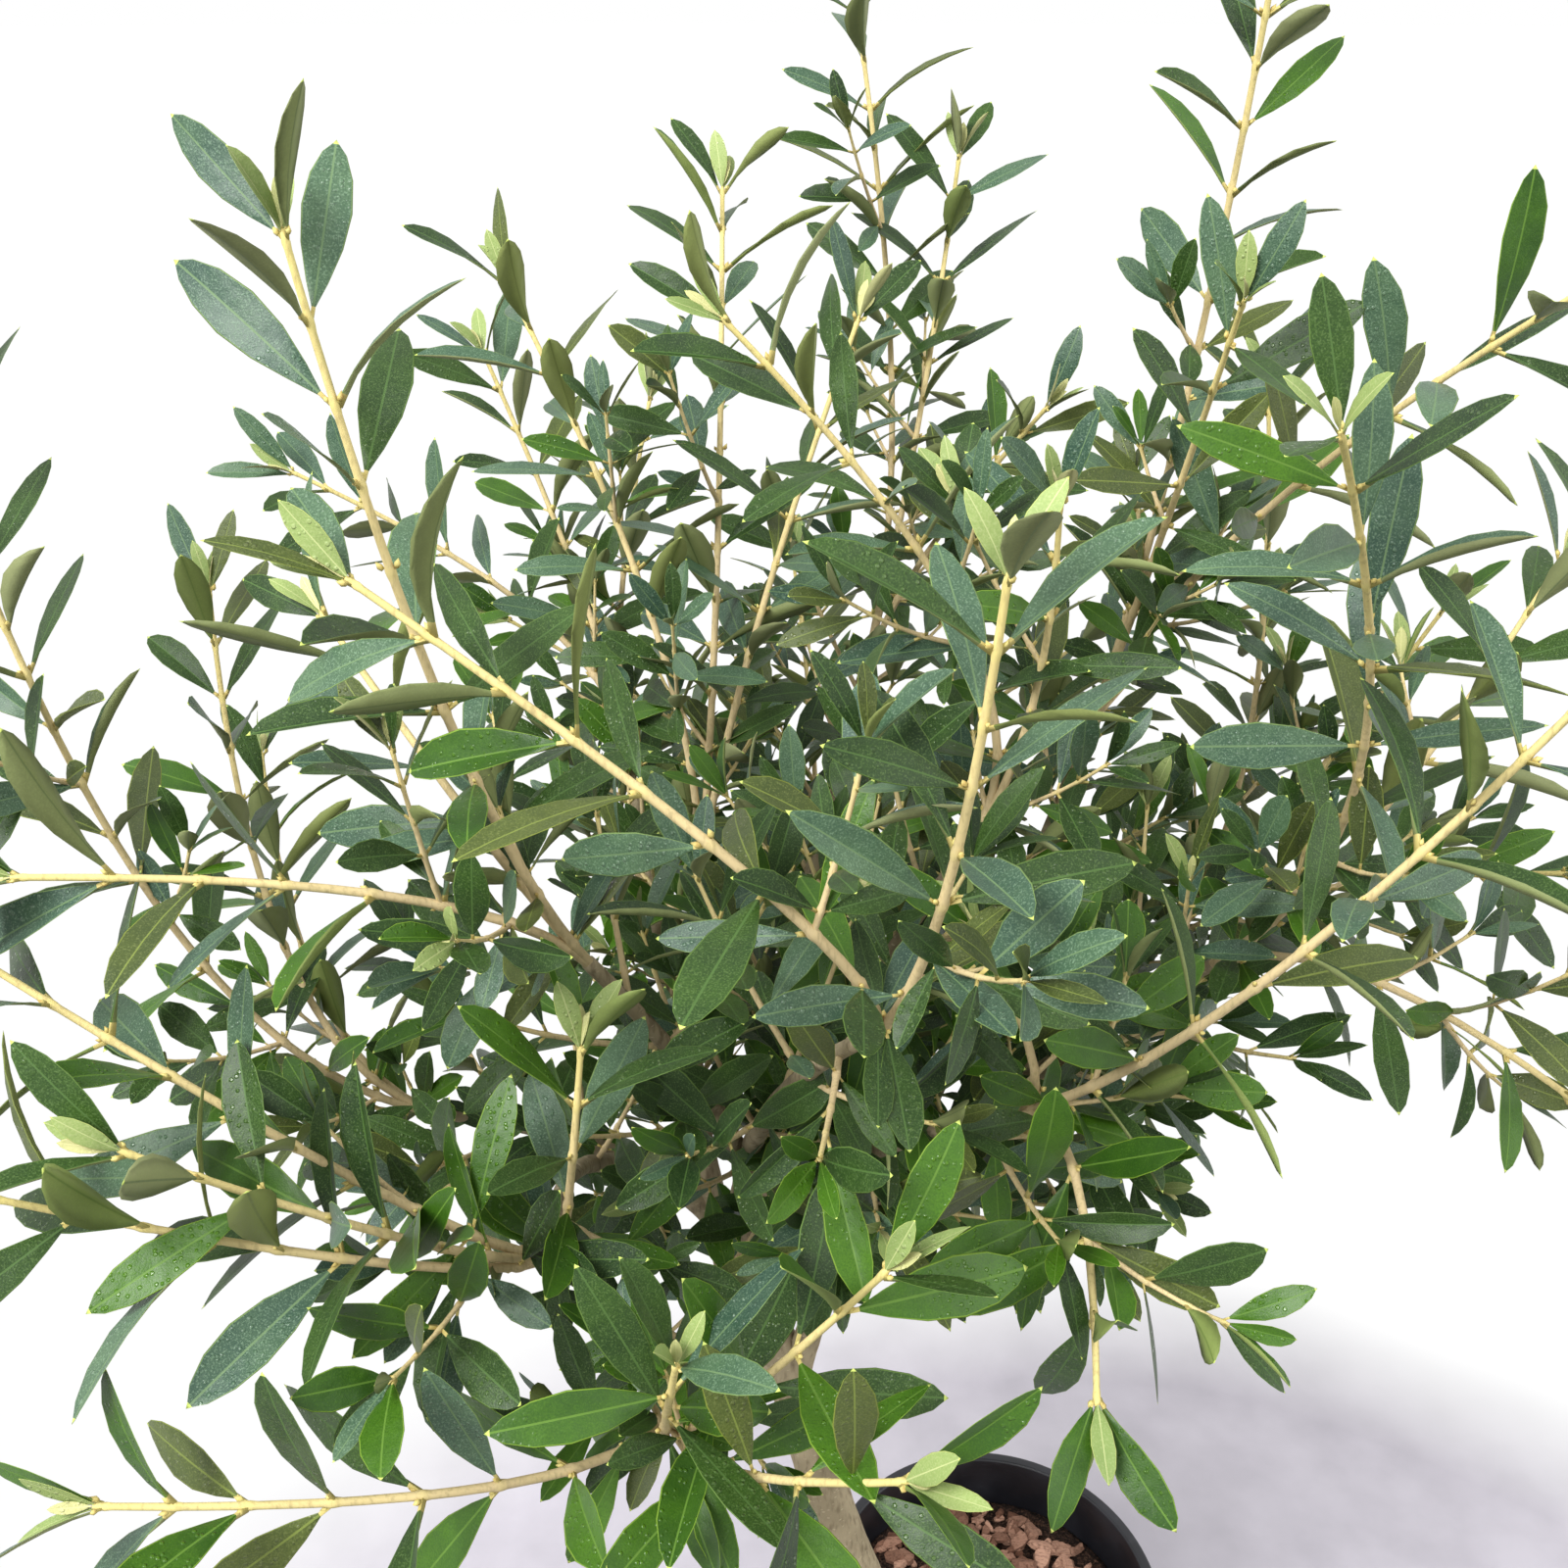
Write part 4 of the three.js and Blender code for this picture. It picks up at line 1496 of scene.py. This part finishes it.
@dataclass
class Crown:
    """Every twig, leaf and bud, grown by the solids' seeded rule and carried to finer twigs."""

    skeleton: Skeleton
    leaf_gap: float = 4.4
    young_gap: float = 1.6
    wood_gap: float = 3.0
    twig_gaps: Limits = (5.0, 3.2)
    edge: float = 6.0
    blade_marks: tuple[float, ...] = (0.3, 0.45, 0.6, 0.75, 0.9, 1.0)
    light: Place = (-0.04, -0.27, 0.4)
    uprightness: float = 0.55
    roll: float = 1.5
    arches: Limits = (0.6, 1.3)
    top: Limits = (720, 1080)
    wide_below: Limits = (820, 1000)
    fresh_boughs: tuple[str, ...] = ("front_low", "right_front", "left_low")
    leaf_sizes: Limits = (0.86, 1.14)
    leaf_foot: float = 0.6
    growing: Limits = (28, 3)
    young_shrink: float = 0.2
    young_closes: float = 0.38
    thinning: Limits = (3.2, 0.4)
    short_wide: float = 1.3
    low_wide: float = 1.14
    swing: float = 0.6
    sway: float = 24
    joint_play: Limits = (0.85, 1.15)
    tip_swing: float = 0.3
    tip_sway: float = 8
    tip_widths: Limits = (0.24, 0.32)
    bud_sizes: Limits = (2.2, 3.8)
    bud_foot: float = 0.7
    bud_lean: float = 0.55
    bud_out: float = 0.35
    bud_rise: float = 1.4
    sprig_lengths: Limits = (36, 84)
    side_shoot_lengths: Limits = (55, 120)
    stem_start: float = 0.32
    stem_end: float = 10.0
    stem_spacing: float = 27.0
    pale_sprigs: float = 0.12
    side_lean: Limits = (0.62, 0.8)
    side_rise: float = 0.45
    side_bend: float = 0.45
    joint: tuple[Limits, ...] = ((-3.0, 1.0), (-0.8, 1.2), (1.0, 1.28), (3.2, 1.0))
    tip_taper: float = 0.7
    joint_age: float = 0.12
    tube_step: float = 16
    tube_apart: float = 4
    tries: int = 4
    blades: Room = field(default_factory=Room)
    wood: Room = field(default_factory=Room)
    leaves: dict[Tone, list[Spot]] = field(default_factory=lambda: {tone: [] for tone in Tone})
    tubes: dict[str, list[Tube]] = field(default_factory=lambda: {"shoots": [], "side_twigs": []})
    buds: list[Spot] = field(default_factory=list)
    count: int = 0

    def __post_init__(self) -> None:
        """Works out the box that leaves keep to, in millimetres."""
        self.low = np.array(CAD_LOW) / MM - self.edge
        self.high = np.array(CAD_HIGH) / MM + self.edge

    def inside(self, points: Iterable[Point]) -> bool:
        """Tells whether every point is within the crown's reach."""
        return all((point > self.low).all() and (point < self.high).all() for point in points)

    def tone_at(self, twig: Twig, root: Point) -> Tone:
        """Draws a leaf's tone for its place: fresher low down in front; greyer at the top, partly the leaves'
        own colour and partly painted sheen; and deep green more often on the side shoots inside the masses,
        as painted shade.

        Args:
            twig: The twig that bears it.
            root: Where it grows from.

        Returns:
            The tone.
        """
        high = smooth(*self.top, float(root[2]))
        front = 1.0 if twig.bough.name in self.fresh_boughs else 0.35
        shares = {
            # Side shoots grow inside the masses, so more deep green there is painted shade.
            Tone.DEEP: 0.9 if twig.habit is SIDE_SHOOT else 0.5,
            # Grey-green more often higher up: partly the leaves' own colour, partly painted sheen.
            Tone.GREY: lerp(0.12, 0.4, high),
            Tone.FRESH: lerp(0.9, 0.12, high) * front,
            Tone.OLIVE: lerp(0.1, 0.15, high),
        }
        return twig.rule.pick(shares)

    def set_leaf(self, twig: Twig, root: Point, tangent: Point, along: Point, length: float, width: float,
                 tone: Tone) -> bool:
        """Sets one leaf if its blade has room.

        Args:
            twig: The twig that bears it.
            root: Where its stalk grows from.
            tangent: The twig's direction there.
            along: The leaf's own direction.
            length: Its length.
            width: Its width as a share of its length.
            tone: Its tone.

        Returns:
            Whether it was set.
        """
        rule = twig.rule
        points = [root + along * length * share for share in self.blade_marks]
        gap = self.young_gap if tone in (Tone.YOUNG, Tone.CREAM) else self.leaf_gap
        if not self.inside(points) or not self.blades.free(points, gap):
            return False
        if not self.wood.free(points, self.wood_gap, twig.number):
            return False
        self.blades.take(points)
        facing = tangent * self.uprightness + np.array(self.light)
        facing = unit(facing - along * float(facing @ along))
        facing = turned(facing, along, rule.about(self.roll))
        turn = turn_of(np.cross(along, facing), along, facing)
        shape = rule.pick({shape: bend.often for shape, bend in BENDS.items()})
        arch = rule.between(*self.arches)
        self.leaves[tone].append(Spot(root, turn, (width * length, length, length * arch), shape.value))
        return True

    def add_bud(self, root: Point, tangent: Point, outward: Point, size: float) -> None:
        """Adds a bud in a leaf's axil.

        Args:
            root: Where it sits.
            tangent: The twig's direction there.
            outward: The side that it sits on.
            size: Its length.
        """
        along = unit(tangent + outward * self.bud_lean)
        side = unit(np.cross(along, outward))
        place = root + outward * size * self.bud_out + tangent * self.bud_rise
        self.buds.append(Spot(place, turn_of(side, along, np.cross(side, along)), (size, size, size)))

    def set_at_joint(self, twig: Twig, share: float, turn: float, young: float) -> None:
        """Sets the two leaves, buds and side twigs of one joint.

        Args:
            twig: The twig.
            share: How far along it the joint is.
            turn: How far round it the first leaf stands.
            young: How near the joint is to the growing tip, from 0 to 1.
        """
        habit, rule = twig.habit, twig.rule
        tangent, root = twig.path.tangent(share), twig.path.point(share)
        reference = side_of(tangent)
        radius = lerp(*habit.radii, share)
        full = lerp(habit.foot_share, 1.0, smooth(0.0, 0.4, share)) * (1 - self.young_shrink * young)
        spread = lerp(*habit.spread, share) * (1 - self.young_closes * young)
        for half in (0, math.pi):
            outward = turned(reference, tangent, turn + half)
            foot = root + outward * radius * self.leaf_foot
            if habit is SHOOT:
                axil = root + outward * radius * self.bud_foot
                self.add_bud(axil, tangent, outward, rule.between(*self.bud_sizes))
            if rule.next() >= habit.missing * lerp(*self.thinning, share):
                tone = self.tone_at(twig, root)
                length = habit.leaf * full * rule.between(*self.leaf_sizes)
                width = rule.between(*habit.width) * lerp(self.short_wide, 1.0, smooth(0.5, 0.9, full))
                width *= lerp(self.low_wide, 1.0, smooth(*self.wide_below, float(root[2])))
                for _ in range(self.tries):
                    swing = turn + half + rule.about(self.swing)
                    opened = math.radians(spread + rule.about(self.sway))
                    along = spread_from(tangent, reference, swing, opened)
                    if self.set_leaf(twig, foot, tangent, along, length, width, tone):
                        break
            if share < habit.sprigs_until and rule.next() < habit.sprigs * twig.bough.fullness:
                length = rule.between(*self.sprig_lengths)
                self.add_side_twig(twig.bough, SPRIG, rule, length, root, tangent, outward)

    def clothe(self, twig: Twig) -> None:
        """Sets the leaves, buds and side twigs of one twig and adds its tube.

        Args:
            twig: The twig.
        """
        turn, length = math.pi * twig.rule.next(), twig.path.length
        joints = self.joints_of(twig)
        for share in joints:
            young = smooth(*(length - from_tip for from_tip in self.growing), share * length)
            self.set_at_joint(twig, share, turn, young)
            turn += QUARTER
        self.crest(twig, turn)
        self.add_tube(twig.path, twig.habit, joints)

    def joints_of(self, twig: Twig) -> list[float]:
        """Spaces a twig's joints, with the last one close to the tip.

        Args:
            twig: The twig.

        Returns:
            The shares of its length where they are.
        """
        path, habit, marks = twig.path, twig.habit, []
        reach, end = habit.first, twig.path.length - twig.habit.last
        while reach < end or not marks:
            marks.append(reach - habit.first)
            reach += lerp(*habit.spacing, reach / path.length) * twig.rule.between(*self.joint_play)
        stretch = (end - habit.first) / max(marks[-1], 1.0)
        return [(habit.first + mark * stretch) / path.length for mark in marks]

    def crest(self, twig: Twig, turn: float) -> None:
        """Sets the leaves that close a twig's tip: pale young ones on a shoot, green ones elsewhere.

        Args:
            twig: The twig.
            turn: How far round it the first leaf stands.
        """
        rule = twig.rule
        tangent, tip = twig.path.tangent(1), twig.path.point(1)
        reference = side_of(tangent)
        pale = twig.habit is SHOOT or rule.next() < self.pale_sprigs
        for pair in PALE_TIP if pale else GREEN_TIP:
            tone = pair.tone or self.tone_at(twig, tip)
            root = tip - tangent * pair.inset
            for half in (0, math.pi):
                swing = turn + half + pair.quarter + rule.about(self.tip_swing)
                opened = math.radians(pair.spread + rule.about(self.tip_sway))
                along = spread_from(tangent, reference, swing, opened)
                length, width = rule.between(*pair.lengths), rule.between(*self.tip_widths)
                self.set_leaf(twig, root, tangent, along, length, width, tone)

    def add_side_twig(self, bough: Bough, habit: Habit, rule: Rule, length: float, root: Point,
                      tangent: Point, outward: Point) -> None:
        """Grows a side twig from a leaf's axil, bending up, where it has room.

        Args:
            bough: The bough that it belongs to.
            habit: How it grows.
            rule: The source of chance.
            length: Its length.
            root: Where it leaves.
            tangent: The direction of what it leaves.
            outward: The side that it leaves from.
        """
        forward, aside = self.side_lean
        leading = unit(tangent * forward + outward * aside)
        ending = unit(leading + UP * self.side_rise)
        middle = root + leading * length * self.side_bend
        path = Path(root, middle, middle + ending * length * (1 - self.side_bend))
        points = [path.point(step / 8) for step in range(1, 9)]
        wood_gap, blade_gap = self.twig_gaps
        if not self.inside(points) or not self.wood.free(points[1:], wood_gap):
            return
        if not self.blades.free(points[2:], blade_gap):
            return
        self.count += 1
        self.wood.take(points, self.count)
        self.clothe(Twig(bough, path, habit, rule, self.count))

    def add_tube(self, path: Path, habit: Habit, joints: list[float]) -> None:
        """Adds a twig's tube, slightly swollen at each joint.

        Args:
            path: The twig's path.
            habit: How it grows.
            joints: The shares of its length where its joints are.
        """
        swells = {0.0: 1.0, 1.0: self.tip_taper}
        for joint in joints:
            for offset, swell in self.joint:
                share = joint + offset / path.length
                if 0.01 < share < 0.99:
                    swells[share] = swell
        steps = max(3, int(path.length / self.tube_step))
        for share in (step / steps for step in range(1, steps)):
            if all(abs(share - other) * path.length > self.tube_apart for other in swells):
                swells[share] = 1.0
        row = sorted(swells)
        points = [path.point(share) for share in row]
        radii = [lerp(*habit.radii, share) * swells[share] for share in row]
        ages = [lerp(*habit.age, share) + self.joint_age * (swells[share] > 1.1) for share in row]
        self.tubes["shoots" if habit is SHOOT else "side_twigs"].append(Tube(points, radii, ages))

    def grow_stem(self, bough: Bough) -> None:
        """Grows the side twigs of the stem inside one mass, in pairs that turn by a quarter.

        Args:
            bough: The bough that ends in the mass.
        """
        rule, path = Rule(bough.seed), self.skeleton.limbs[bough.name]
        turn, reach = math.pi * rule.next(), path.length * self.stem_start
        while reach < path.length - self.stem_end:
            share = reach / path.length
            tangent, root = path.tangent(share), path.point(share)
            for half in (0, math.pi):
                outward = turned(side_of(tangent), tangent, turn + half + rule.about(self.swing))
                length = rule.between(*self.side_shoot_lengths)
                self.add_side_twig(bough, SIDE_SHOOT, rule, length, root, tangent, outward)
            reach += self.stem_spacing / bough.fullness
            turn += QUARTER

    def grow(self) -> None:
        """Grows every mass: the shoots of all first, then the side twigs of their stems."""
        shoots = []
        for bough in BOUGHS:
            limb = self.skeleton.limbs[bough.name]
            self.wood.take([limb.point(step / 60) for step in range(61)])
            for index, path in enumerate(self.skeleton.shoots[bough.name]):
                self.count += 1
                self.wood.take([path.point(step / 50) for step in range(51)], self.count)
                shoots.append(Twig(bough, path, SHOOT, Rule(bough.seed * 10 + index), self.count))
        for twig in shoots:
            self.clothe(twig)
        for bough in BOUGHS:
            self.grow_stem(bough)


@dataclass
class LeafTemplate:
    """One leaf a unit long and a unit wide: blade, rib, margin, lower side and stalk."""

    shape: Shape
    rows: tuple[float, ...] = (0.0, 0.085, 0.22, 0.41, 0.61, 0.79, 0.92, 0.975)
    half_widths: tuple[float, ...] = (0.075, 0.085, 0.44, 0.83, 1.0, 0.85, 0.48, 0.13)
    thickness: tuple[float, ...] = (0.016, 0.014, 0.008, 0.007, 0.006, 0.005, 0.004, 0.003)
    margin: float = 0.94
    rib: float = 0.042

    def bend(self, across: float, along: float, rise: float) -> Place:
        """Returns where a point of the flat leaf goes once the blade is bent.

        Args:
            across: Its place across, from -1 to 1 at the margins times the half width.
            along: Its place along the leaf.
            rise: Its height over the blade.

        Returns:
            The bent point.
        """
        bend = BENDS[self.shape]
        angle = bend.twist * (along - 0.1)
        height = rise + bend.arch * along * along + bend.fold * abs(across) * 0.3
        return (across * math.cos(angle) * 0.5, along, height + across * 0.14 * math.sin(angle))

    def section(self, half: float, thick: float) -> list[Limits]:
        """Lays out the leaf's section, from one margin round to it again.

        Args:
            half: Half its width.
            thick: Its thickness.

        Returns:
            Places across, with a height each.
        """
        rib = min(half * 0.5, self.rib)
        top = [(-half, 0.0), (-half * self.margin, thick * 0.3), (-rib, thick * 0.5)]
        top += [(-across, rise) for across, rise in reversed(top)]
        return top + [(rib * 1.1, -thick * 1.6), (-rib * 1.1, -thick * 1.6)]

    def build(self) -> Object:
        """Builds the leaf.

        Returns:
            The template.
        """
        points = [
            self.bend(across, along, rise)
            for along, half, thick in zip(self.rows, self.half_widths, self.thickness)
            for across, rise in self.section(half, thick)
        ]
        points.append(self.bend(0.0, 1.0, 0.0))
        strips = [Part.MARGIN, Part.BLADE, Part.RIB, Part.BLADE, Part.MARGIN]
        strips += [Part.UNDER, Part.UNDER_RIB, Part.UNDER]
        count, bands = len(strips), len(self.rows) - 1
        faces = bridged(bands, count) + fanned(bands * count, count, len(points) - 1)
        faces.append(tuple(reversed(range(count))))
        parts = [Part.STALK] * count + strips * (bands - 1) + [Part.POINT] * count + [Part.STALK]
        name = f"leaf_template_{self.shape.name.lower()}"
        return template(name, points, faces, [part.value for part in parts])


@dataclass
class BudTemplate:
    """A bud a unit long: a pointed drop."""

    sides: int = 5
    rings: tuple[Limits, ...] = ((0.0, 0.21), (0.4, 0.336))

    def build(self) -> Object:
        """Builds the bud.

        Returns:
            The template.
        """
        count, bands = self.sides, len(self.rings) - 1
        points = [(half * x, along, half * y) for along, half in self.rings for x, y in circle(count)]
        points.append((0, 1, 0))
        faces = [tuple(range(count)), *bridged(bands, count, inward=True)]
        faces += fanned(bands * count, count, len(points) - 1, inward=True)
        return template("bud_template", points, faces, [0] * len(faces))


@dataclass
class Foliage:
    """The crown's meshes: twigs, buds, and leaves joined by tone."""

    crown: Crown
    shoot_sides: int = 9
    twig_sides: int = 5
    most_leaves: int = 1500
    bud_seed: int = 3
    leaf_seed: int = 11
    tube_tree: NodeTree = field(default_factory=tube_tree)

    def twigs(self, name: str, sides: int, skin: Material) -> None:
        """Builds one kind of twig as one piece of closed tubes.

        Args:
            name: The kind.
            sides: How many sides each tube has.
            skin: The material of its skin.
        """
        points, edges, radii, ages = [], [], [], []
        for tube in self.crown.tubes[name]:
            start = len(points)
            points += tube.points
            edges += [(start + step, start + step + 1) for step in range(len(tube.points) - 1)]
            radii += tube.radii
            ages += tube.ages
        made = mesh_object(name, points, [], edges)
        store(made, "radius", "FLOAT", np.array(radii) * MM)
        store(made, "age", "FLOAT", ages)
        settle(grown(made, self.tube_tree, {"Sides": sides, "Skin": skin}), "bark", *FOLIAGE_NODES)

    def buds(self) -> None:
        """Builds the buds of every shoot as one piece."""
        scatter = Scatter("bud_scatter", [BudTemplate().build()], ["Bud"])
        skin = {"Bud": BudSkin().material}
        scatter.piece("buds", self.crown.buds, skin, self.bud_seed, "bark", *FOLIAGE_NODES)
        scatter.clear()

    def leaves(self) -> None:
        """Builds the leaves: for each tone, pieces of not too many leaves."""
        kinds = [LeafTemplate(shape).build() for shape in Shape]
        scatter = Scatter("leaf_scatter", kinds, [part.name.title() for part in Part])
        for finish in LEAF_FINISHES:
            spots, materials = self.crown.leaves[finish.tone], finish.materials()
            pieces = max(1, math.ceil(len(spots) / self.most_leaves))
            for index in range(pieces):
                name = f"leaves_{finish.tone.value}" + (f"_{index + 1}" if pieces > 1 else "")
                own, seed = spots[index::pieces], self.leaf_seed + index
                scatter.piece(name, own, materials, seed, "foliage", *FOLIAGE_NODES)
        scatter.clear()

    def build(self) -> None:
        """Builds twigs, buds and leaves."""
        skin = TwigSkin().material
        self.twigs("shoots", self.shoot_sides, skin)
        self.twigs("side_twigs", self.twig_sides, skin)
        self.buds()
        self.leaves()


# Studio


@dataclass(frozen=True)
class Lamp:
    """A soft square lamp: where it hangs, the point that it faces, its side and its power in watts."""

    name: str
    place: Place
    aim: Place
    size: float
    power: float

    def hang(self) -> None:
        """Hangs the lamp."""
        light = bpy.data.lights.new(self.name, "AREA")
        light.size, light.energy = self.size * MM, self.power
        view = Vector(self.aim) - Vector(self.place)
        linked(self.name, light, self.place, view.to_track_quat("-Z", "Y").to_euler())


@dataclass
class Studio:
    """A pale floor that fades to white, soft light, and the camera."""

    eye: Place = (-149, -741, 1251)
    pitch: float = 27.0
    lens: float = 36.09
    sensor: float = 36.0
    nearest: float = 20
    floor_radius: float = 60000
    floor_sides: int = 96
    patch_centre: Limits = (60, -380)
    patch_fade: Limits = (820, 980)
    glow_below: float = 0.3
    horizon: Limits = (-0.2, -0.03)
    lamps: tuple[Lamp, ...] = (
        Lamp("key", (-1500, -1700, 2900), (-140, -60, 850), 1300, 120),
        Lamp("fill", (1900, -900, 2100), (-100, 0, 850), 1600, 20),
    )

    def floor(self) -> None:
        """Lays the floor: pale grey near the pot and white further out."""
        rim = [(self.floor_radius * x, self.floor_radius * y, 0) for x, y in circle(self.floor_sides)]
        made = mesh_object("floor", rim, [tuple(range(self.floor_sides))])
        made.data.materials.append(StudioFloor(self.patch_centre, self.patch_fade).material)
        made.visible_diffuse = False

    def world(self) -> None:
        """Lights the room evenly in white, dimmer from below."""
        world = bpy.data.worlds.new("studio_white")
        world.use_nodes = True
        net = Net(world.node_tree)
        place = net.add("ShaderNodeTexCoord").outputs["Generated"]
        height = net.add("ShaderNodeSeparateXYZ", {"Vector": place}).outputs["Z"]
        low, high = self.horizon
        sockets = {"Value": height, "From Min": low, "From Max": high, "To Min": self.glow_below}
        background = world.node_tree.nodes["Background"].inputs
        net.feed(background["Strength"], net.add("ShaderNodeMapRange", sockets))
        net.feed(background["Color"], WHITE)
        bpy.context.scene.world = world

    def camera(self) -> None:
        """Sets up the camera at the photograph's angle."""
        camera = bpy.data.cameras.new("camera")
        camera.lens, camera.sensor_width = self.lens, self.sensor
        camera.clip_start = self.nearest * MM
        turn = (math.radians(90 - self.pitch), 0.0, 0.0)
        bpy.context.scene.camera = linked("camera", camera, self.eye, turn)

    def build(self) -> None:
        """Sets up floor, world, lamps, camera and the way colours are shown."""
        self.floor()
        self.world()
        bpy.context.scene.view_settings.view_transform = "Standard"
        for lamp in self.lamps:
            lamp.hang()
        self.camera()


def main() -> None:
    """Builds the plant, its pot and the studio."""
    logging.basicConfig(level=logging.INFO, format="%(name)s: %(message)s")
    Studio().build()
    Pot().build()
    skeleton = Skeleton()
    Wood(skeleton, Bark().material).build()
    crown = Crown(skeleton)
    crown.grow()
    counts = {tone.value: len(spots) for tone, spots in crown.leaves.items()}
    LOG.info("leaves: %s, twigs: %d, buds: %d", counts, crown.count, len(crown.buds))
    Foliage(crown).build()


if __name__ == "__main__":
    main()
